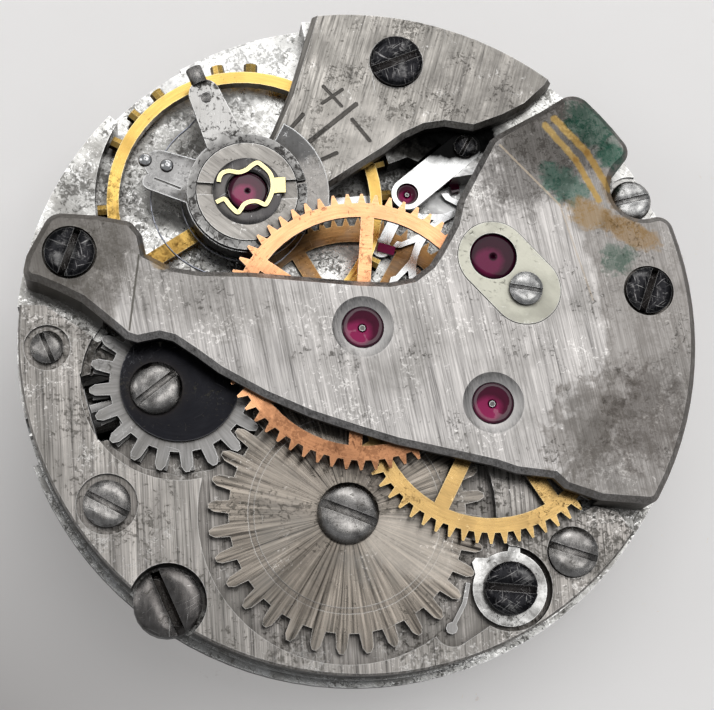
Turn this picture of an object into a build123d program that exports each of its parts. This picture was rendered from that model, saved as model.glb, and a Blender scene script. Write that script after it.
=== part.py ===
from build123d import *
from math import acos, atan2, cos, degrees, hypot, pi, radians, sin, sqrt
import os

# A hand-wound watch movement with a sweep seconds wheel, in millimetres. The origin is on the centre
# axis at the dial seat, +Z points to the bridges, and the winding stem lies in the lower left, as it
# does when the movement is seen from its bridge side.

os.makedirs("parts", exist_ok=True)

# Rims of the frame pieces
plate_radius = 9.55
train_bridge_inset = 0.13
barrel_bridge_inset = 0.08
cock_inset = 0.03
flange_reach = 0.17
flange_low = 0.26
flange_high = 0.75
flange_gap_start = 122.0
flange_gap_end = 202.0
balance_opening_start = 100.0
balance_opening_end = 138.4

# Heights of the frame, from the dial seat up
plate_top = 1.95
barrel_seat = 1.25
barrel_bridge_thickness = 1.00
winding_recess_depth = 0.40
foot_height = 1.03
train_bridge_thickness = 0.37
left_foot_reach = 6.22
right_foot_reach = 4.90
bridge_bevel = 0.17
cock_thickness = 0.50
cock_bevel = 0.15
pallet_cock_thickness = 0.24
motion_recess_depth = 0.34
barrel_floor = 0.40
pocket_floor = 0.92
escape_floor = 1.04

# Clearances
running_gap = 0.05
level_gap = 0.06
pivot_clearance = 0.015
seat_clearance = 0.02
pocket_clearance = 0.14
small_round_sides = 8
recess_sides = 16
head_sides = 24
overrun = 0.5

# Places of the axes, seen from the bridge side
centre = (0.0, 0.0)
third_distance = 4.16
third_angle = -29.7
escape_distance = 4.23
escape_angle = 29.9
balance_distance = 5.11
balance_angle = 128.9
barrel_distance = 5.05
barrel_angle = -93.4
stem_angle = 196.4
crown_distance = 5.20

# Train: teeth, wheel sizes and heights
barrel_teeth = 64
centre_leaves = 14
centre_teeth = 64
third_leaves = 8
third_teeth = 60
sweep_leaves = 8
sweep_teeth = 60
escape_leaves = 6
escape_teeth = 15
wheel_addendum = 1.15
pinion_addendum = 0.75
dedendum = 1.35
centre_wheel_thickness = 0.09
third_wheel_thickness = 0.12
sweep_wheel_thickness = 0.12
third_wheel_lift = 0.18
wheel_spokes = 6
wheel_hub_radius = 0.62
third_spoke_width = 0.44
sweep_spoke_width = 0.37
centre_spoke_width = 0.45
third_rim_radius = 3.10
sweep_rim_radius = 3.27
centre_rim_radius = 3.06
third_spoke_phase = 4.0
sweep_spoke_phase = 27.0
centre_spoke_phase = 2.0
arbor_radius = 0.18
pivot_radius = 0.09
sweep_arbor_radius = 0.13
centre_arbor_radius = 0.36
seconds_post_drop = 1.70

# Escapement
escape_tip_radius = 2.70
escape_rim_radius = 2.12
escape_rim_width = 0.22
escape_wheel_thickness = 0.09
escape_spokes = 4
escape_spoke_width = 0.22
escape_spoke_phase = 20.0
escape_tooth_lean = 7.0
pallet_direction = 135.5
pallet_half_span = 30.0
fork_thickness = 0.10
fork_width = 0.30
fork_tail_width = 0.20
fork_horn_width = 0.52
fork_slot_width = 0.20
fork_slot_depth = 0.26
pallet_arm_width = 0.34
stone_length = 0.50
stone_width = 0.26
stone_height = 0.16
stone_lock = 0.10

# Balance
balance_outer_radius = 3.95
balance_rim_width = 0.34
balance_rim_height = 0.40
balance_arm_thickness = 0.12
balance_arm_width = 0.46
balance_arm_angle = 34.0
balance_hub_radius = 0.52
balance_screw_radius = 0.20
balance_screw_length = 0.27
balance_screw_angles = (88.5, 102.0, 128.8, 142.0, 155.8, 185.0, 199.0)
staff_radius = 0.20
staff_pivot_radius = 0.07
roller_radius = 0.80
roller_thickness = 0.09
impulse_radius = 0.08
impulse_distance = 0.62
impulse_length = 0.28
hairspring_turns = 3
hairspring_pitch = 0.38
hairspring_outer = 2.10
hairspring_strip = 0.05
hairspring_height = 0.12
hairspring_lift = 0.08
collet_height = 0.20
stud_distance = 2.91
stud_angle = 113.7
stud_radius = 0.16

# Regulator, stud carrier and shock setting
regulator_thickness = 0.11
regulator_ring_outer = 1.74
regulator_ring_inner = 1.46
regulator_sector_radius = 2.33
regulator_sector_start = -22.0
regulator_sector_end = 64.0
regulator_tail_angle = 163.0
regulator_tail_length = 3.02
regulator_tail_width = 0.84
regulator_prong_start = (1.62, 185.0)
regulator_prong_end = (2.72, 175.0)
regulator_prong_width = 0.46
regulator_prong_gap = 0.06
curb_pin_radius = 0.045
curb_pin_gap = 0.09
stud_carrier_thickness = 0.10
stud_carrier_outer = 1.70
stud_carrier_inner = 1.46
stud_arm_width = 0.90
stud_arm_root = 1.30
stud_arm_length = 3.55
stud_carrier_slit = 0.10
stud_carrier_slit_angle = 12.0
stud_screw_radius = 0.23
stud_screw_length = 0.50
shock_block_radius = 1.43
shock_block_boss = 0.98
shock_block_rise = 0.27
shock_cavity_radius = 0.78
shock_cavity_depth = 0.20
shock_spring_thickness = 0.06
shock_spring_outer = 0.74
shock_spring_inner = 0.60
shock_tongue_length = 1.05
shock_tongue_width = 0.46
shock_slot_width = 0.34
balance_jewel_radius = 0.53
balance_jewel_thickness = 0.14

# Jewels and the end-stone
jewel_radius = 0.595
jewel_thickness = 0.20
jewel_sink_radius = 0.86
jewel_sink_depth = 0.11
pallet_jewel_radius = 0.32
end_stone_radius = 0.67
end_plate_length = 1.29
end_plate_radius = 1.00
end_plate_thickness = 0.12
end_plate_angle = -46.0
end_screw_head = 0.475

# Going barrel
barrel_height = 0.47
barrel_ring_height = 0.22
barrel_wall_outer = 3.74
barrel_wall = 0.16
barrel_base = 0.08
barrel_cover_thickness = 0.08
barrel_hub_radius = 0.92
barrel_arbor_radius = 0.52
barrel_pivot_radius = 0.34
arbor_square = 0.72
mainspring_turns = 2
mainspring_strip = 0.09
barrel_tooth_addendum = 0.75

# Winding work
ratchet_teeth = 32
crown_teeth = 20
winding_addendum = 1.0
winding_dedendum = 1.45
winding_thickness = 0.31
ratchet_groove_radius = 2.68
ratchet_groove_width = 0.16
ratchet_groove_depth = 0.04
ratchet_screw_head = 0.86
ratchet_screw_rise = 0.30
crown_bore_radius = 1.30
crown_core_radius = 1.66
crown_core_thickness = 0.12
crown_screw_head = 0.73
crown_screw_rise = 0.26
crown_screw_offset = 0.68
crown_screw_direction = 197.0
crown_face_outer = 2.42
crown_face_inner = 1.98
crown_face_depth = 0.17
click_distance = 8.22
click_angle = -59.2
click_radius = 1.04
click_thickness = 0.28
click_beak_length = 1.27
click_beak_width = 0.62
click_tip_width = 0.16
click_beak_turn = 14.0
click_tab_length = 1.14
click_tab_angle = 83.0
click_screw_head = 0.74
click_spring_width = 0.12
click_spring_reach = 1.95
click_spring_turn = 58.0
stem_height = 1.00
stem_hole_radius = 0.40
setting_travel = 13.4
stem_bore_radius = 0.30
winding_teeth = 12
winding_pinion_radius = 0.84
winding_pinion_length = 0.70
winding_pinion_distance = 7.40
sliding_pinion_radius = 0.60
sliding_pinion_length = 0.80
sliding_groove_radius = 0.42
sliding_groove_width = 0.26
clutch_gap = 0.12
stem_pocket_width = 1.92
stem_pocket_inner = 5.20
stem_pocket_outer = 7.96

# Setting work on the dial side
keyless_recess_depth = 0.24
keyless_thickness = 0.14
setting_screw_place = (-8.66, -0.56)
setting_screw_head = 0.46
setting_screw_sink = 0.64
setting_lever_width = 0.74
setting_pin_distance = 8.20
setting_pin_radius = 0.13
yoke_reach = 2.90
yoke_travel = 0.45
yoke_width = 0.52
yoke_post_radius = 0.26
yoke_spring_width = 0.20
setting_wheel_teeth = 20
setting_wheel_distance = 4.60
setting_post_radius = 0.28

# Motion work
cannon_teeth = 12
minute_teeth = 36
minute_leaves = 10
hour_teeth = 40
minute_distance = 2.30
motion_thickness = 0.10
motion_addendum = 0.95
hour_wheel_thickness = 0.10
hour_tube_radius = 0.74
hour_tube_drop = 0.80
cannon_drop = 1.25
minute_post_radius = 0.20
minute_seat_radius = 0.41
minute_seat_length = 0.40
cannon_wall = 0.21

# Screws of the frame
screw_shank = 0.28
screw_head_height = 0.24
slot_width_share = 0.27
slot_depth_share = 0.45
dome_share = 0.55
train_screw_insets = (1.25, 1.37)
train_screw_angles = (166.9, 8.7)
train_screw_heads = (0.69, 0.66)
train_screw_slots = (72.5, 71.0)
cock_screw_inset = 1.38
cock_screw_angle = 82.5
cock_screw_head = 0.76
cock_screw_slot = 23.0
barrel_screw_insets = (1.10, 1.06)
barrel_screw_angles = (215.3, -45.3)
barrel_screw_heads = (0.65, 0.70)
barrel_screw_slots = (-27.0, -16.7)
barrel_screw_sink = 0.84
case_screw_inset = 0.41
case_screw_angle = -124.6
case_screw_head = 0.94
case_screw_slot = -65.0
case_notch_radius = 1.06
key_screw_inset = 0.48
key_screw_angle = 28.1
key_notch_radius = 0.90
key_screw_head = 0.60
key_screw_slot = 15.0
pallet_screw_head = 0.34
pallet_cock_reach = 2.25
pallet_cock_angle = 41.0
pallet_cock_width = 0.92
foot_bore_radius = 0.40
foot_bore_depth = 0.70
foot_bore_inset = 1.00
foot_bore_angles = (108.0, -33.0)

# Outlines, as shares of the rim radius that each one ends on
train_bridge_shares = (
    (-1.01, 0.132), (-0.918, 0.322), (-0.789, 0.318), (-0.683, 0.302), (-0.650, 0.262),
    (-0.637, 0.205), (-0.560, 0.167), (-0.480, 0.156), (-0.329, 0.158), (-0.150, 0.148),
    (-0.012, 0.140), (0.080, 0.139), (0.150, 0.155), (0.200, 0.195), (0.228, 0.239), (0.272, 0.322),
    (0.290, 0.400), (0.362, 0.540), (0.388, 0.590), (0.418, 0.614), (0.546, 0.688),
    (0.655, 0.760), (0.690, 0.790),
    (1.06, 0.800), (1.06, -0.520), (0.700, -0.500), (0.592, -0.466), (0.560, -0.436),
    (0.450, -0.424), (0.388, -0.404), (0.164, -0.358), (0.102, -0.346),
    (-0.016, -0.312), (-0.152, -0.270), (-0.285, -0.215), (-0.420, -0.144), (-0.490, -0.094),
    (-0.552, -0.054), (-0.592, -0.045), (-0.656, -0.060), (-0.690, -0.050), (-0.712, -0.030),
    (-0.820, 0.056), (-0.888, 0.088), (-0.948, 0.112), (-1.06, 0.130))
# Corners of the train bridge that are rounded, as shares of the rim radius, each with its radius
train_corner_shares = ((-0.918, 0.322), (-0.683, 0.302), (-0.650, 0.262), (0.652, 0.758), (0.836, 0.549),
                       (0.921, 0.389), (0.859, -0.509), (-0.992, 0.119))
train_corner_radii = (0.50, 0.30, 0.25, 0.60, 0.45, 0.45, 0.35, 0.30)
cock_shares = (
    (-0.125, 1.06), (-0.215, 0.740), (-0.262, 0.620), (-0.300, 0.540), (-0.420, 0.480),
    (-0.400, 0.330), (-0.300, 0.260), (-0.240, 0.290), (-0.105, 0.438), (-0.006, 0.508), (0.078, 0.566),
    (0.136, 0.612), (0.200, 0.645), (0.262, 0.656), (0.350, 0.645), (0.442, 0.682),
    (0.514, 0.722), (0.582, 0.788), (0.640, 0.900), (0.400, 1.06))
barrel_bridge_shares = (
    (-1.12, 0.068), (-0.924, 0.068), (-0.850, 0.020), (-0.770, -0.030), (-0.560, 0.060), (-0.300, 0.070),
    (-0.100, 0.060), (-0.062, 0.064), (0.062, 0.064), (0.074, -0.020), (0.170, -0.300),
    (0.330, -0.370), (0.560, -0.420), (0.660, -0.520), (0.700, -0.500), (0.768, -0.516),
    (0.806, -0.566), (1.12, -0.760), (0.20, -1.40), (-1.12, -1.12))


def polar(place, radius, angle):
    """The point at a distance and an angle in degrees from a place."""
    return (place[0] + radius * cos(radians(angle)), place[1] + radius * sin(radians(angle)))


def bearing(start, end):
    """The angle in degrees from one place to another."""
    return degrees(atan2(end[1] - start[1], end[0] - start[0]))


def reach(start, end):
    return hypot(end[0] - start[0], end[1] - start[1])


# Axes
third = polar(centre, third_distance, third_angle)
escape = polar(centre, escape_distance, escape_angle)
balance = polar(centre, balance_distance, balance_angle)
barrel = polar(centre, barrel_distance, barrel_angle)
crown = polar(centre, crown_distance, stem_angle)
pallet = polar(escape, escape_tip_radius / cos(radians(pallet_half_span)), pallet_direction)
click = polar(centre, click_distance, click_angle)
stem_direction = (cos(radians(stem_angle)), sin(radians(stem_angle)))

# Levels worked out from the heights and gaps
bridge_underside = plate_top + foot_height
bridge_top = bridge_underside + train_bridge_thickness
cock_top = plate_top + cock_thickness
barrel_bridge_top = barrel_seat + barrel_bridge_thickness
recess_floor = barrel_bridge_top - winding_recess_depth
barrel_low = barrel_floor + running_gap
barrel_high = barrel_low + barrel_height
centre_wheel_low = barrel_high + running_gap
centre_wheel_high = centre_wheel_low + centre_wheel_thickness
fork_low = centre_wheel_high + running_gap
fork_high = fork_low + fork_thickness
escape_wheel_low = fork_low + seat_clearance
rim_low = fork_high + level_gap
rim_high = rim_low + balance_rim_height
arm_low = rim_low + (balance_rim_height - balance_arm_thickness) / 2
roller_low = fork_high + running_gap
hairspring_low = rim_high + hairspring_lift
sweep_wheel_high = bridge_underside - level_gap
sweep_wheel_low = sweep_wheel_high - sweep_wheel_thickness
third_wheel_low = barrel_bridge_top + third_wheel_lift
third_wheel_high = third_wheel_low + third_wheel_thickness
crown_face_floor = recess_floor - crown_face_depth - running_gap
winding_low = recess_floor + seat_clearance
winding_high = winding_low + winding_thickness
jewel_top = bridge_top - jewel_sink_depth
regulator_low = cock_top + seat_clearance
regulator_high = regulator_low + regulator_thickness
carrier_low = regulator_high + seat_clearance
carrier_high = carrier_low + stud_carrier_thickness
shock_top = cock_top + shock_block_rise
keyless_low = keyless_recess_depth - keyless_thickness - seat_clearance
minute_high = motion_recess_depth - seat_clearance
minute_low = minute_high - motion_thickness
hour_high = minute_low - running_gap
hour_low = hour_high - hour_wheel_thickness

# Modules of the gear pairs
barrel_module = 2 * barrel_distance / (barrel_teeth + centre_leaves)
centre_module = 2 * third_distance / (centre_teeth + third_leaves)
third_module = 2 * third_distance / (third_teeth + sweep_leaves)
sweep_module = 2 * escape_distance / (sweep_teeth + escape_leaves)
winding_module = 2 * reach(barrel, crown) / (ratchet_teeth + crown_teeth)
minute_module = 2 * minute_distance / (cannon_teeth + minute_teeth)
hour_module = 2 * minute_distance / (minute_leaves + hour_teeth)
barrel_tip_radius = barrel_module * (barrel_teeth / 2 + barrel_tooth_addendum)
centre_tip_radius = centre_module * (centre_teeth / 2 + wheel_addendum)
third_tip_radius = third_module * (third_teeth / 2 + wheel_addendum)
sweep_tip_radius = sweep_module * (sweep_teeth / 2 + pinion_addendum)
centre_pinion_tip = barrel_module * (centre_leaves / 2 + pinion_addendum)
third_pinion_tip = centre_module * (third_leaves / 2 + pinion_addendum)
ratchet_tip_radius = winding_module * (ratchet_teeth / 2 + winding_addendum)
crown_tip_radius = winding_module * (crown_teeth / 2 + winding_addendum)
minute_tip_radius = minute_module * (minute_teeth / 2 + motion_addendum)
hour_tip_radius = hour_module * (hour_teeth / 2 + motion_addendum)
cannon_tip_radius = minute_module * (cannon_teeth / 2 + motion_addendum)
balance_tip_radius = balance_outer_radius + balance_screw_length
pallet_pivot_radius = pivot_radius * 0.7
pallet_arbor_radius = pivot_radius * 1.4
pallet_screw_shank = pivot_radius * 2
end_screw_shank = pivot_radius * 1.5
ratchet_screw_shank = pivot_radius * 2

# Rims and the screws near them, which keep their distance from the plate's edge
train_bridge_radius = plate_radius - train_bridge_inset
barrel_bridge_radius = plate_radius - barrel_bridge_inset
cock_radius = plate_radius - cock_inset
flange_radius = plate_radius + flange_reach
train_screw_places = [polar(centre, plate_radius - inset, angle)
                      for inset, angle in zip(train_screw_insets, train_screw_angles)]
cock_screw_place = polar(centre, plate_radius - cock_screw_inset, cock_screw_angle)
barrel_screw_places = [polar(centre, plate_radius - inset, angle)
                       for inset, angle in zip(barrel_screw_insets, barrel_screw_angles)]
case_screw_place = polar(centre, plate_radius - case_screw_inset, case_screw_angle)
key_screw_place = polar(centre, plate_radius - key_screw_inset, key_screw_angle)
foot_bore_distance = plate_radius - foot_bore_inset

# The setting wheel meshes with the minute wheel, whose axis closes the triangle with the centre
setting_wheel_place = polar(centre, setting_wheel_distance, stem_angle)
setting_pitch_radius = minute_module * setting_wheel_teeth / 2
minute_to_setting = minute_module * (minute_teeth + setting_wheel_teeth) / 2
minute_turn = degrees(acos((setting_wheel_distance ** 2 + minute_distance ** 2 - minute_to_setting ** 2)
                           / (2 * setting_wheel_distance * minute_distance)))
minute = polar(centre, minute_distance, stem_angle - minute_turn)


def disc(radius, low, high, place=centre):
    return Pos(place[0], place[1], low) * extrude(Circle(radius), amount=high - low)


def shaft(radius, low, high, place=centre, sides=small_round_sides):
    """A small round with few sides, as a pivot or a screw's shank."""
    return Pos(place[0], place[1], low) * extrude(RegularPolygon(radius, sides), amount=high - low)


def bore(radius, low, high, place=centre, sides=small_round_sides):
    """A hole with few sides that a round of the radius just fills."""
    face = RegularPolygon(radius, sides, major_radius=False)
    return Pos(place[0], place[1], low) * extrude(face, amount=high - low)


def recess(radius, low, high, place=centre):
    """A wide hollow out of sight, round in a few flats."""
    return bore(radius, low, high, place, recess_sides)


def ring(outer, inner, low, high, place=centre):
    return Pos(place[0], place[1], low) * extrude(Circle(outer) - Circle(inner), amount=high - low)


def slab(face, low, high):
    """A flat piece from a face drawn in the movement's own plane."""
    return Pos(0, 0, low) * extrude(face, amount=high - low)


def polygon(points):
    return make_face(Polyline(*points, close=True))


def outline(shares, radius, beyond=0):
    """A face whose points are shares of a rim radius, trimmed round on that rim or beyond it."""
    return polygon([(x * radius, y * radius) for x, y in shares]) & Circle(radius + beyond)


def bar(start, end, start_width, end_width):
    """A flat link with round ends, as wide as each end asks for."""
    side = bearing(start, end) + 90
    corners = [polar(start, start_width / 2, side), polar(end, end_width / 2, side),
               polar(end, end_width / 2, side + 180), polar(start, start_width / 2, side + 180)]
    link = polygon(corners)
    link += Pos(*start) * Circle(start_width / 2)
    link += Pos(*end) * Circle(end_width / 2)
    return link


def strip(start, end, width):
    """A straight rectangle from one place to another."""
    side = bearing(start, end) + 90
    return polygon([polar(start, width / 2, side), polar(end, width / 2, side),
                    polar(end, width / 2, side + 180), polar(start, width / 2, side + 180)])


def rounded(face, places, radii):
    """The face with its corners nearest to the given places rounded."""
    for place, radius in zip(places, radii):
        corner = face.vertices().sort_by_distance((place[0], place[1], 0))[0]
        face = fillet(corner, radius)
    return face


def sector(radius, start, end, place=centre):
    """A pie slice between two angles of less than a half turn."""
    points = [place, polar(place, radius, start), polar(place, radius, end)]
    edge = ThreePointArc(points[1], polar(place, radius, (start + end) / 2), points[2])
    return make_face([Line(points[0], points[1]), edge, Line(points[2], points[0])])


def teeth_face(teeth, module, addendum, phase, points_per_tooth=4, depth=dedendum, place=centre):
    """The outline of a toothed wheel with a tooth centred on the phase angle.

    Each tooth is a plain point with two or three points, flat-topped with four, and arched with six.
    """
    pitch = 360 / teeth
    tip = module * (teeth / 2 + addendum)
    middle = module * (teeth / 2 + addendum / 3)
    root = module * (teeth / 2 - depth)
    root_share = 0.29
    middle_share = 0.21
    tip_share = 0.08
    points = []
    for tooth in range(teeth):
        angle = phase + tooth * pitch
        if points_per_tooth == 2:
            points.append(polar(place, root, angle - pitch / 2))
            points.append(polar(place, tip, angle))
            continue
        points.append(polar(place, root, angle - root_share * pitch))
        if points_per_tooth == 3:
            points.append(polar(place, tip, angle))
        if points_per_tooth == 6:
            points.append(polar(place, middle, angle - middle_share * pitch))
        if points_per_tooth > 3:
            points.append(polar(place, tip, angle - tip_share * pitch))
            points.append(polar(place, tip, angle + tip_share * pitch))
        if points_per_tooth == 6:
            points.append(polar(place, middle, angle + middle_share * pitch))
        points.append(polar(place, root, angle + root_share * pitch))
    return polygon(points)


def mating_phase(phase, teeth, angle, other_teeth):
    """The phase of a wheel whose gap meets the tooth that the first wheel has near the given angle."""
    pitch = 360 / teeth
    offset = ((angle - phase) / pitch) % 1
    return angle + 180 + (offset + 0.5) * 360 / other_teeth


def windows(rim_radius, hub_radius, spokes, width, phase, place=centre):
    """The openings between a wheel's rim, hub and spokes."""
    openings = Pos(*place) * (Circle(rim_radius) - Circle(hub_radius))
    for spoke in range(spokes):
        angle = phase + spoke * 360 / spokes
        openings -= strip(place, polar(place, rim_radius + width, angle), width)
    return openings


def screw(place, head_radius, head_low, head_high, shank_radius, shank_low, slot_angle, domed=False):
    """A slotted screw with a flat or a domed head."""
    height = head_high - head_low
    head = shaft(head_radius, head_low, head_high, place, head_sides)
    if domed:
        head = chamfer(head.edges().group_by(Axis.Z)[-1], height * dome_share)
    slot = Box(2 * head_radius + overrun, slot_width_share * head_radius, 2 * slot_depth_share * height)
    head -= Pos(place[0], place[1], head_high) * Rot(0, 0, slot_angle) * slot
    return head + shaft(shank_radius, shank_low, head_low, place)


def hole_jewel(place, radius, low, thickness, hole_radius):
    """A pierced jewel."""
    stone = shaft(radius, low, low + thickness, place, head_sides)
    return stone - bore(hole_radius, low - overrun, low + thickness + overrun, place)


def spiral_face(inner_radius, pitch, turns, width, way=1, outer_radius=None):
    """A flat spiral strip of half-turn arcs about two centres, ending on the +X side.

    It winds outwards counterclockwise, or clockwise where the way is -1. With an outer radius, its last
    half turn opens out to it.
    """
    step = pitch / 2
    forward = []
    backward = []
    for half in range(2 * turns):
        side = 1 if half % 2 else -1
        near = inner_radius + half * step
        far = near + step
        if outer_radius and half == 2 * turns - 1:
            far = outer_radius
        middle = (side * (far - near) / 2, 0)
        start = 0 if half % 2 == 0 else 180
        forward.append(CenterArc(middle, (near + far) / 2 + width / 2, start, way * 180))
        backward.append(CenterArc(middle, (near + far) / 2 - width / 2, start, way * 180))
    ends = [Line(forward[0] @ 0, backward[0] @ 0), Line(forward[-1] @ 1, backward[-1] @ 1)]
    return make_face(forward + backward + ends)


def stem_frame(distance):
    """A place on the stem's axis whose own Z points outwards along the stem."""
    place = polar(centre, distance, stem_angle)
    return Plane(origin=(place[0], place[1], stem_height), z_dir=(*stem_direction, 0))


def stem_cylinder(radius, start, end):
    return stem_frame(start) * extrude(Circle(radius), amount=end - start)


def stem_box(width, start, end, low, high):
    face = strip(polar(centre, start, stem_angle), polar(centre, end, stem_angle), width)
    return slab(face, low, high)


def turned(place, pivot, angle):
    """A place after a turn about a pivot."""
    return polar(pivot, reach(pivot, place), bearing(pivot, place) + angle)


def barrel_bridge_face():
    face = outline(barrel_bridge_shares, barrel_bridge_radius)
    return face - Pos(*balance) * Circle(balance_tip_radius + pocket_clearance)


def low_side_face():
    """The side of the plate that is cut down for the barrel bridge."""
    return outline(barrel_bridge_shares, barrel_bridge_radius, overrun)


def make_main_plate():
    plate = disc(plate_radius, 0, plate_top)
    gap = sector(flange_radius + overrun, flange_gap_start, flange_gap_end)
    flange = (Circle(flange_radius) - Circle(plate_radius - overrun)) - gap
    plate += slab(flange, flange_low, flange_high)
    high = plate_top + overrun
    plate -= slab(low_side_face(), barrel_seat, high)
    plate -= make_crown_recess()
    plate -= slab(balance_pocket_face(), escape_floor, high)
    plate -= recess(centre_tip_radius + pocket_clearance, pocket_floor, high)
    plate -= recess(escape_tip_radius + pocket_clearance, escape_floor, high, escape)
    plate -= bore(pallet_screw_head * 3, escape_floor, high, pallet)
    plate -= slab(fork_way(), escape_floor, high)
    plate -= recess(barrel_tip_radius + seat_clearance * 4, barrel_floor, high, barrel)
    plate -= bore(third_pinion_tip + pocket_clearance, pocket_floor - running_gap, plate_top, third)
    plate -= bore(centre_pinion_tip + seat_clearance * 2, barrel_floor, plate_top, centre)
    cock_seat = bar(pallet, pallet_screw_place(), pallet_cock_width + seat_clearance,
                    pallet_cock_width + seat_clearance)
    plate -= slab(cock_seat, plate_top - pallet_cock_thickness, high)
    plate -= disc(key_screw_head + pocket_clearance, plate_top - screw_head_height / 3, high, key_screw_place)
    plate -= make_plate_bores()
    plate -= make_dial_recesses()
    return plate


def balance_pocket_face():
    """The balance's pocket, which opens through the plate's edge on the upper left."""
    pocket = Pos(*balance) * Circle(balance_tip_radius + level_gap)
    opening = sector(plate_radius + overrun, balance_opening_start, balance_opening_end)
    return pocket + (opening - Circle(balance_distance))


def fork_way():
    """The room that the pallet fork swings in."""
    way = strip(pallet, balance, fork_horn_width * 3)
    for angle in stone_places():
        way += strip(pallet, polar(escape, escape_tip_radius + stone_length * 1.6, angle), pallet_arm_width * 3)
    return way


def make_plate_bores():
    """Every hole that a pivot, screw, stem or dial foot needs in the plate."""
    bores = bore(centre_arbor_radius + pivot_clearance, -overrun, barrel_floor + overrun)
    bores += bore(barrel_pivot_radius + pivot_clearance, -overrun, barrel_floor + overrun, barrel)
    for place, top, pivot in ((third, pocket_floor, pivot_radius), (escape, escape_floor, pivot_radius),
                              (pallet, escape_floor, pallet_pivot_radius),
                              (balance, escape_floor, staff_pivot_radius)):
        bores += bore(pivot + pivot_clearance, top - jewel_thickness - running_gap, top + overrun, place)
    for place in (*train_screw_places, cock_screw_place, key_screw_place):
        bores += shaft(screw_shank, barrel_seat, plate_top + overrun, place)
    for place in barrel_screw_places:
        bores += shaft(screw_shank, barrel_floor, barrel_seat + overrun, place)
    bores += shaft(screw_shank, flange_low, barrel_seat + overrun, case_screw_place)
    bores += shaft(screw_shank, -overrun, barrel_seat + overrun, setting_screw_place)
    bores += shaft(pallet_screw_shank, escape_floor, plate_top, pallet_screw_place())
    for angle in foot_bore_angles:
        bores += disc(foot_bore_radius, -overrun, foot_bore_depth, polar(centre, foot_bore_distance, angle))
    pin_end = turned(setting_pin_place(), setting_screw_place, -setting_travel)
    pin_room = 2 * (setting_pin_radius + running_gap)
    pin_way = strip(setting_pin_place(), pin_end, pin_room)
    for place in (setting_pin_place(), pin_end):
        pin_way += Pos(*place) * RegularPolygon(pin_room / 2, small_round_sides, major_radius=False)
    bores += slab(pin_way, -overrun, stem_height)
    bores += stem_cylinder(stem_hole_radius, stem_pocket_outer - overrun, plate_radius + overrun)
    bores += stem_box(stem_pocket_width, stem_pocket_inner, stem_pocket_outer, -overrun, plate_top + overrun)
    return bores


def make_dial_recesses():
    """The sunk places on the dial side for the motion work and the setting work."""
    bed = recess(minute_tip_radius + pocket_clearance, -overrun, motion_recess_depth, minute)
    bed += recess(hour_tip_radius + pocket_clearance, -overrun, hour_high + running_gap)
    bed += bore(cannon_tip_radius + running_gap, -overrun, motion_recess_depth)
    bed += recess(setting_pitch_radius + pocket_clearance * 2, -overrun, motion_recess_depth,
                  setting_wheel_place)
    bed += slab(keyless_outline(), -overrun, keyless_recess_depth)
    post_hole = bore(minute_post_radius, -overrun, motion_recess_depth + level_gap, minute)
    post_hole += bore(setting_post_radius, -overrun, motion_recess_depth + level_gap, setting_wheel_place)
    yoke_hole = bore(yoke_post_radius, -overrun, keyless_recess_depth + level_gap * 2, yoke_pivot())
    return bed + post_hole + yoke_hole


def keyless_outline():
    """The shallow bed under the setting lever, the yoke and the yoke's spring."""
    pin_end = turned(setting_pin_place(), setting_screw_place, -setting_travel)
    tail_end = turned(setting_tail_place(), setting_screw_place, -setting_travel)
    bed = bar(setting_screw_place, setting_pin_place(), setting_lever_width * 1.3, setting_lever_width * 1.3)
    bed += strip(setting_screw_place, polar(pin_end, setting_lever_width / 2, bearing(setting_screw_place, pin_end)),
                 setting_lever_width)
    bed += strip(setting_screw_place, polar(setting_tail_place(), setting_lever_width / 2, 40), setting_lever_width)
    bed += strip(setting_screw_place, polar(tail_end, setting_lever_width / 2, 40 - setting_travel),
                 setting_lever_width)
    bed += bar(yoke_pivot(), yoke_tip_place(), yoke_width * 1.6, yoke_width * 2.2)
    foot, middle, touch = yoke_spring_places()
    bed += polygon([polar(yoke_pivot(), yoke_width, 120), polar(foot, yoke_width, 60), polar(foot, yoke_width, -60),
                    polar(yoke_pivot(), yoke_width, -120)])
    bed += strip(polar(foot, yoke_width, 88), polar(middle, yoke_width * 0.8, 268), yoke_width * 1.6)
    bed += strip(middle, touch, yoke_width * 1.6)
    return bed


def setting_pin_place():
    return polar(centre, setting_pin_distance, stem_angle)


def setting_tail_place():
    return polar(setting_screw_place, setting_lever_width * 2.1, 40)


def yoke_pivot():
    """The yoke's pivot, square to the stem from the middle of the sliding pinion's travel."""
    return polar(polar(centre, sliding_middle() - yoke_travel / 2, stem_angle), yoke_reach, stem_angle - 90)


def yoke_tip_place():
    return polar(centre, sliding_middle(), stem_angle)


def sliding_middle():
    """The distance of the sliding pinion's groove from the centre axis."""
    return winding_pinion_distance - winding_pinion_length / 2 - clutch_gap - sliding_pinion_length / 2


def pallet_screw_place():
    return polar(pallet, pallet_cock_reach, pallet_cock_angle)


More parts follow.
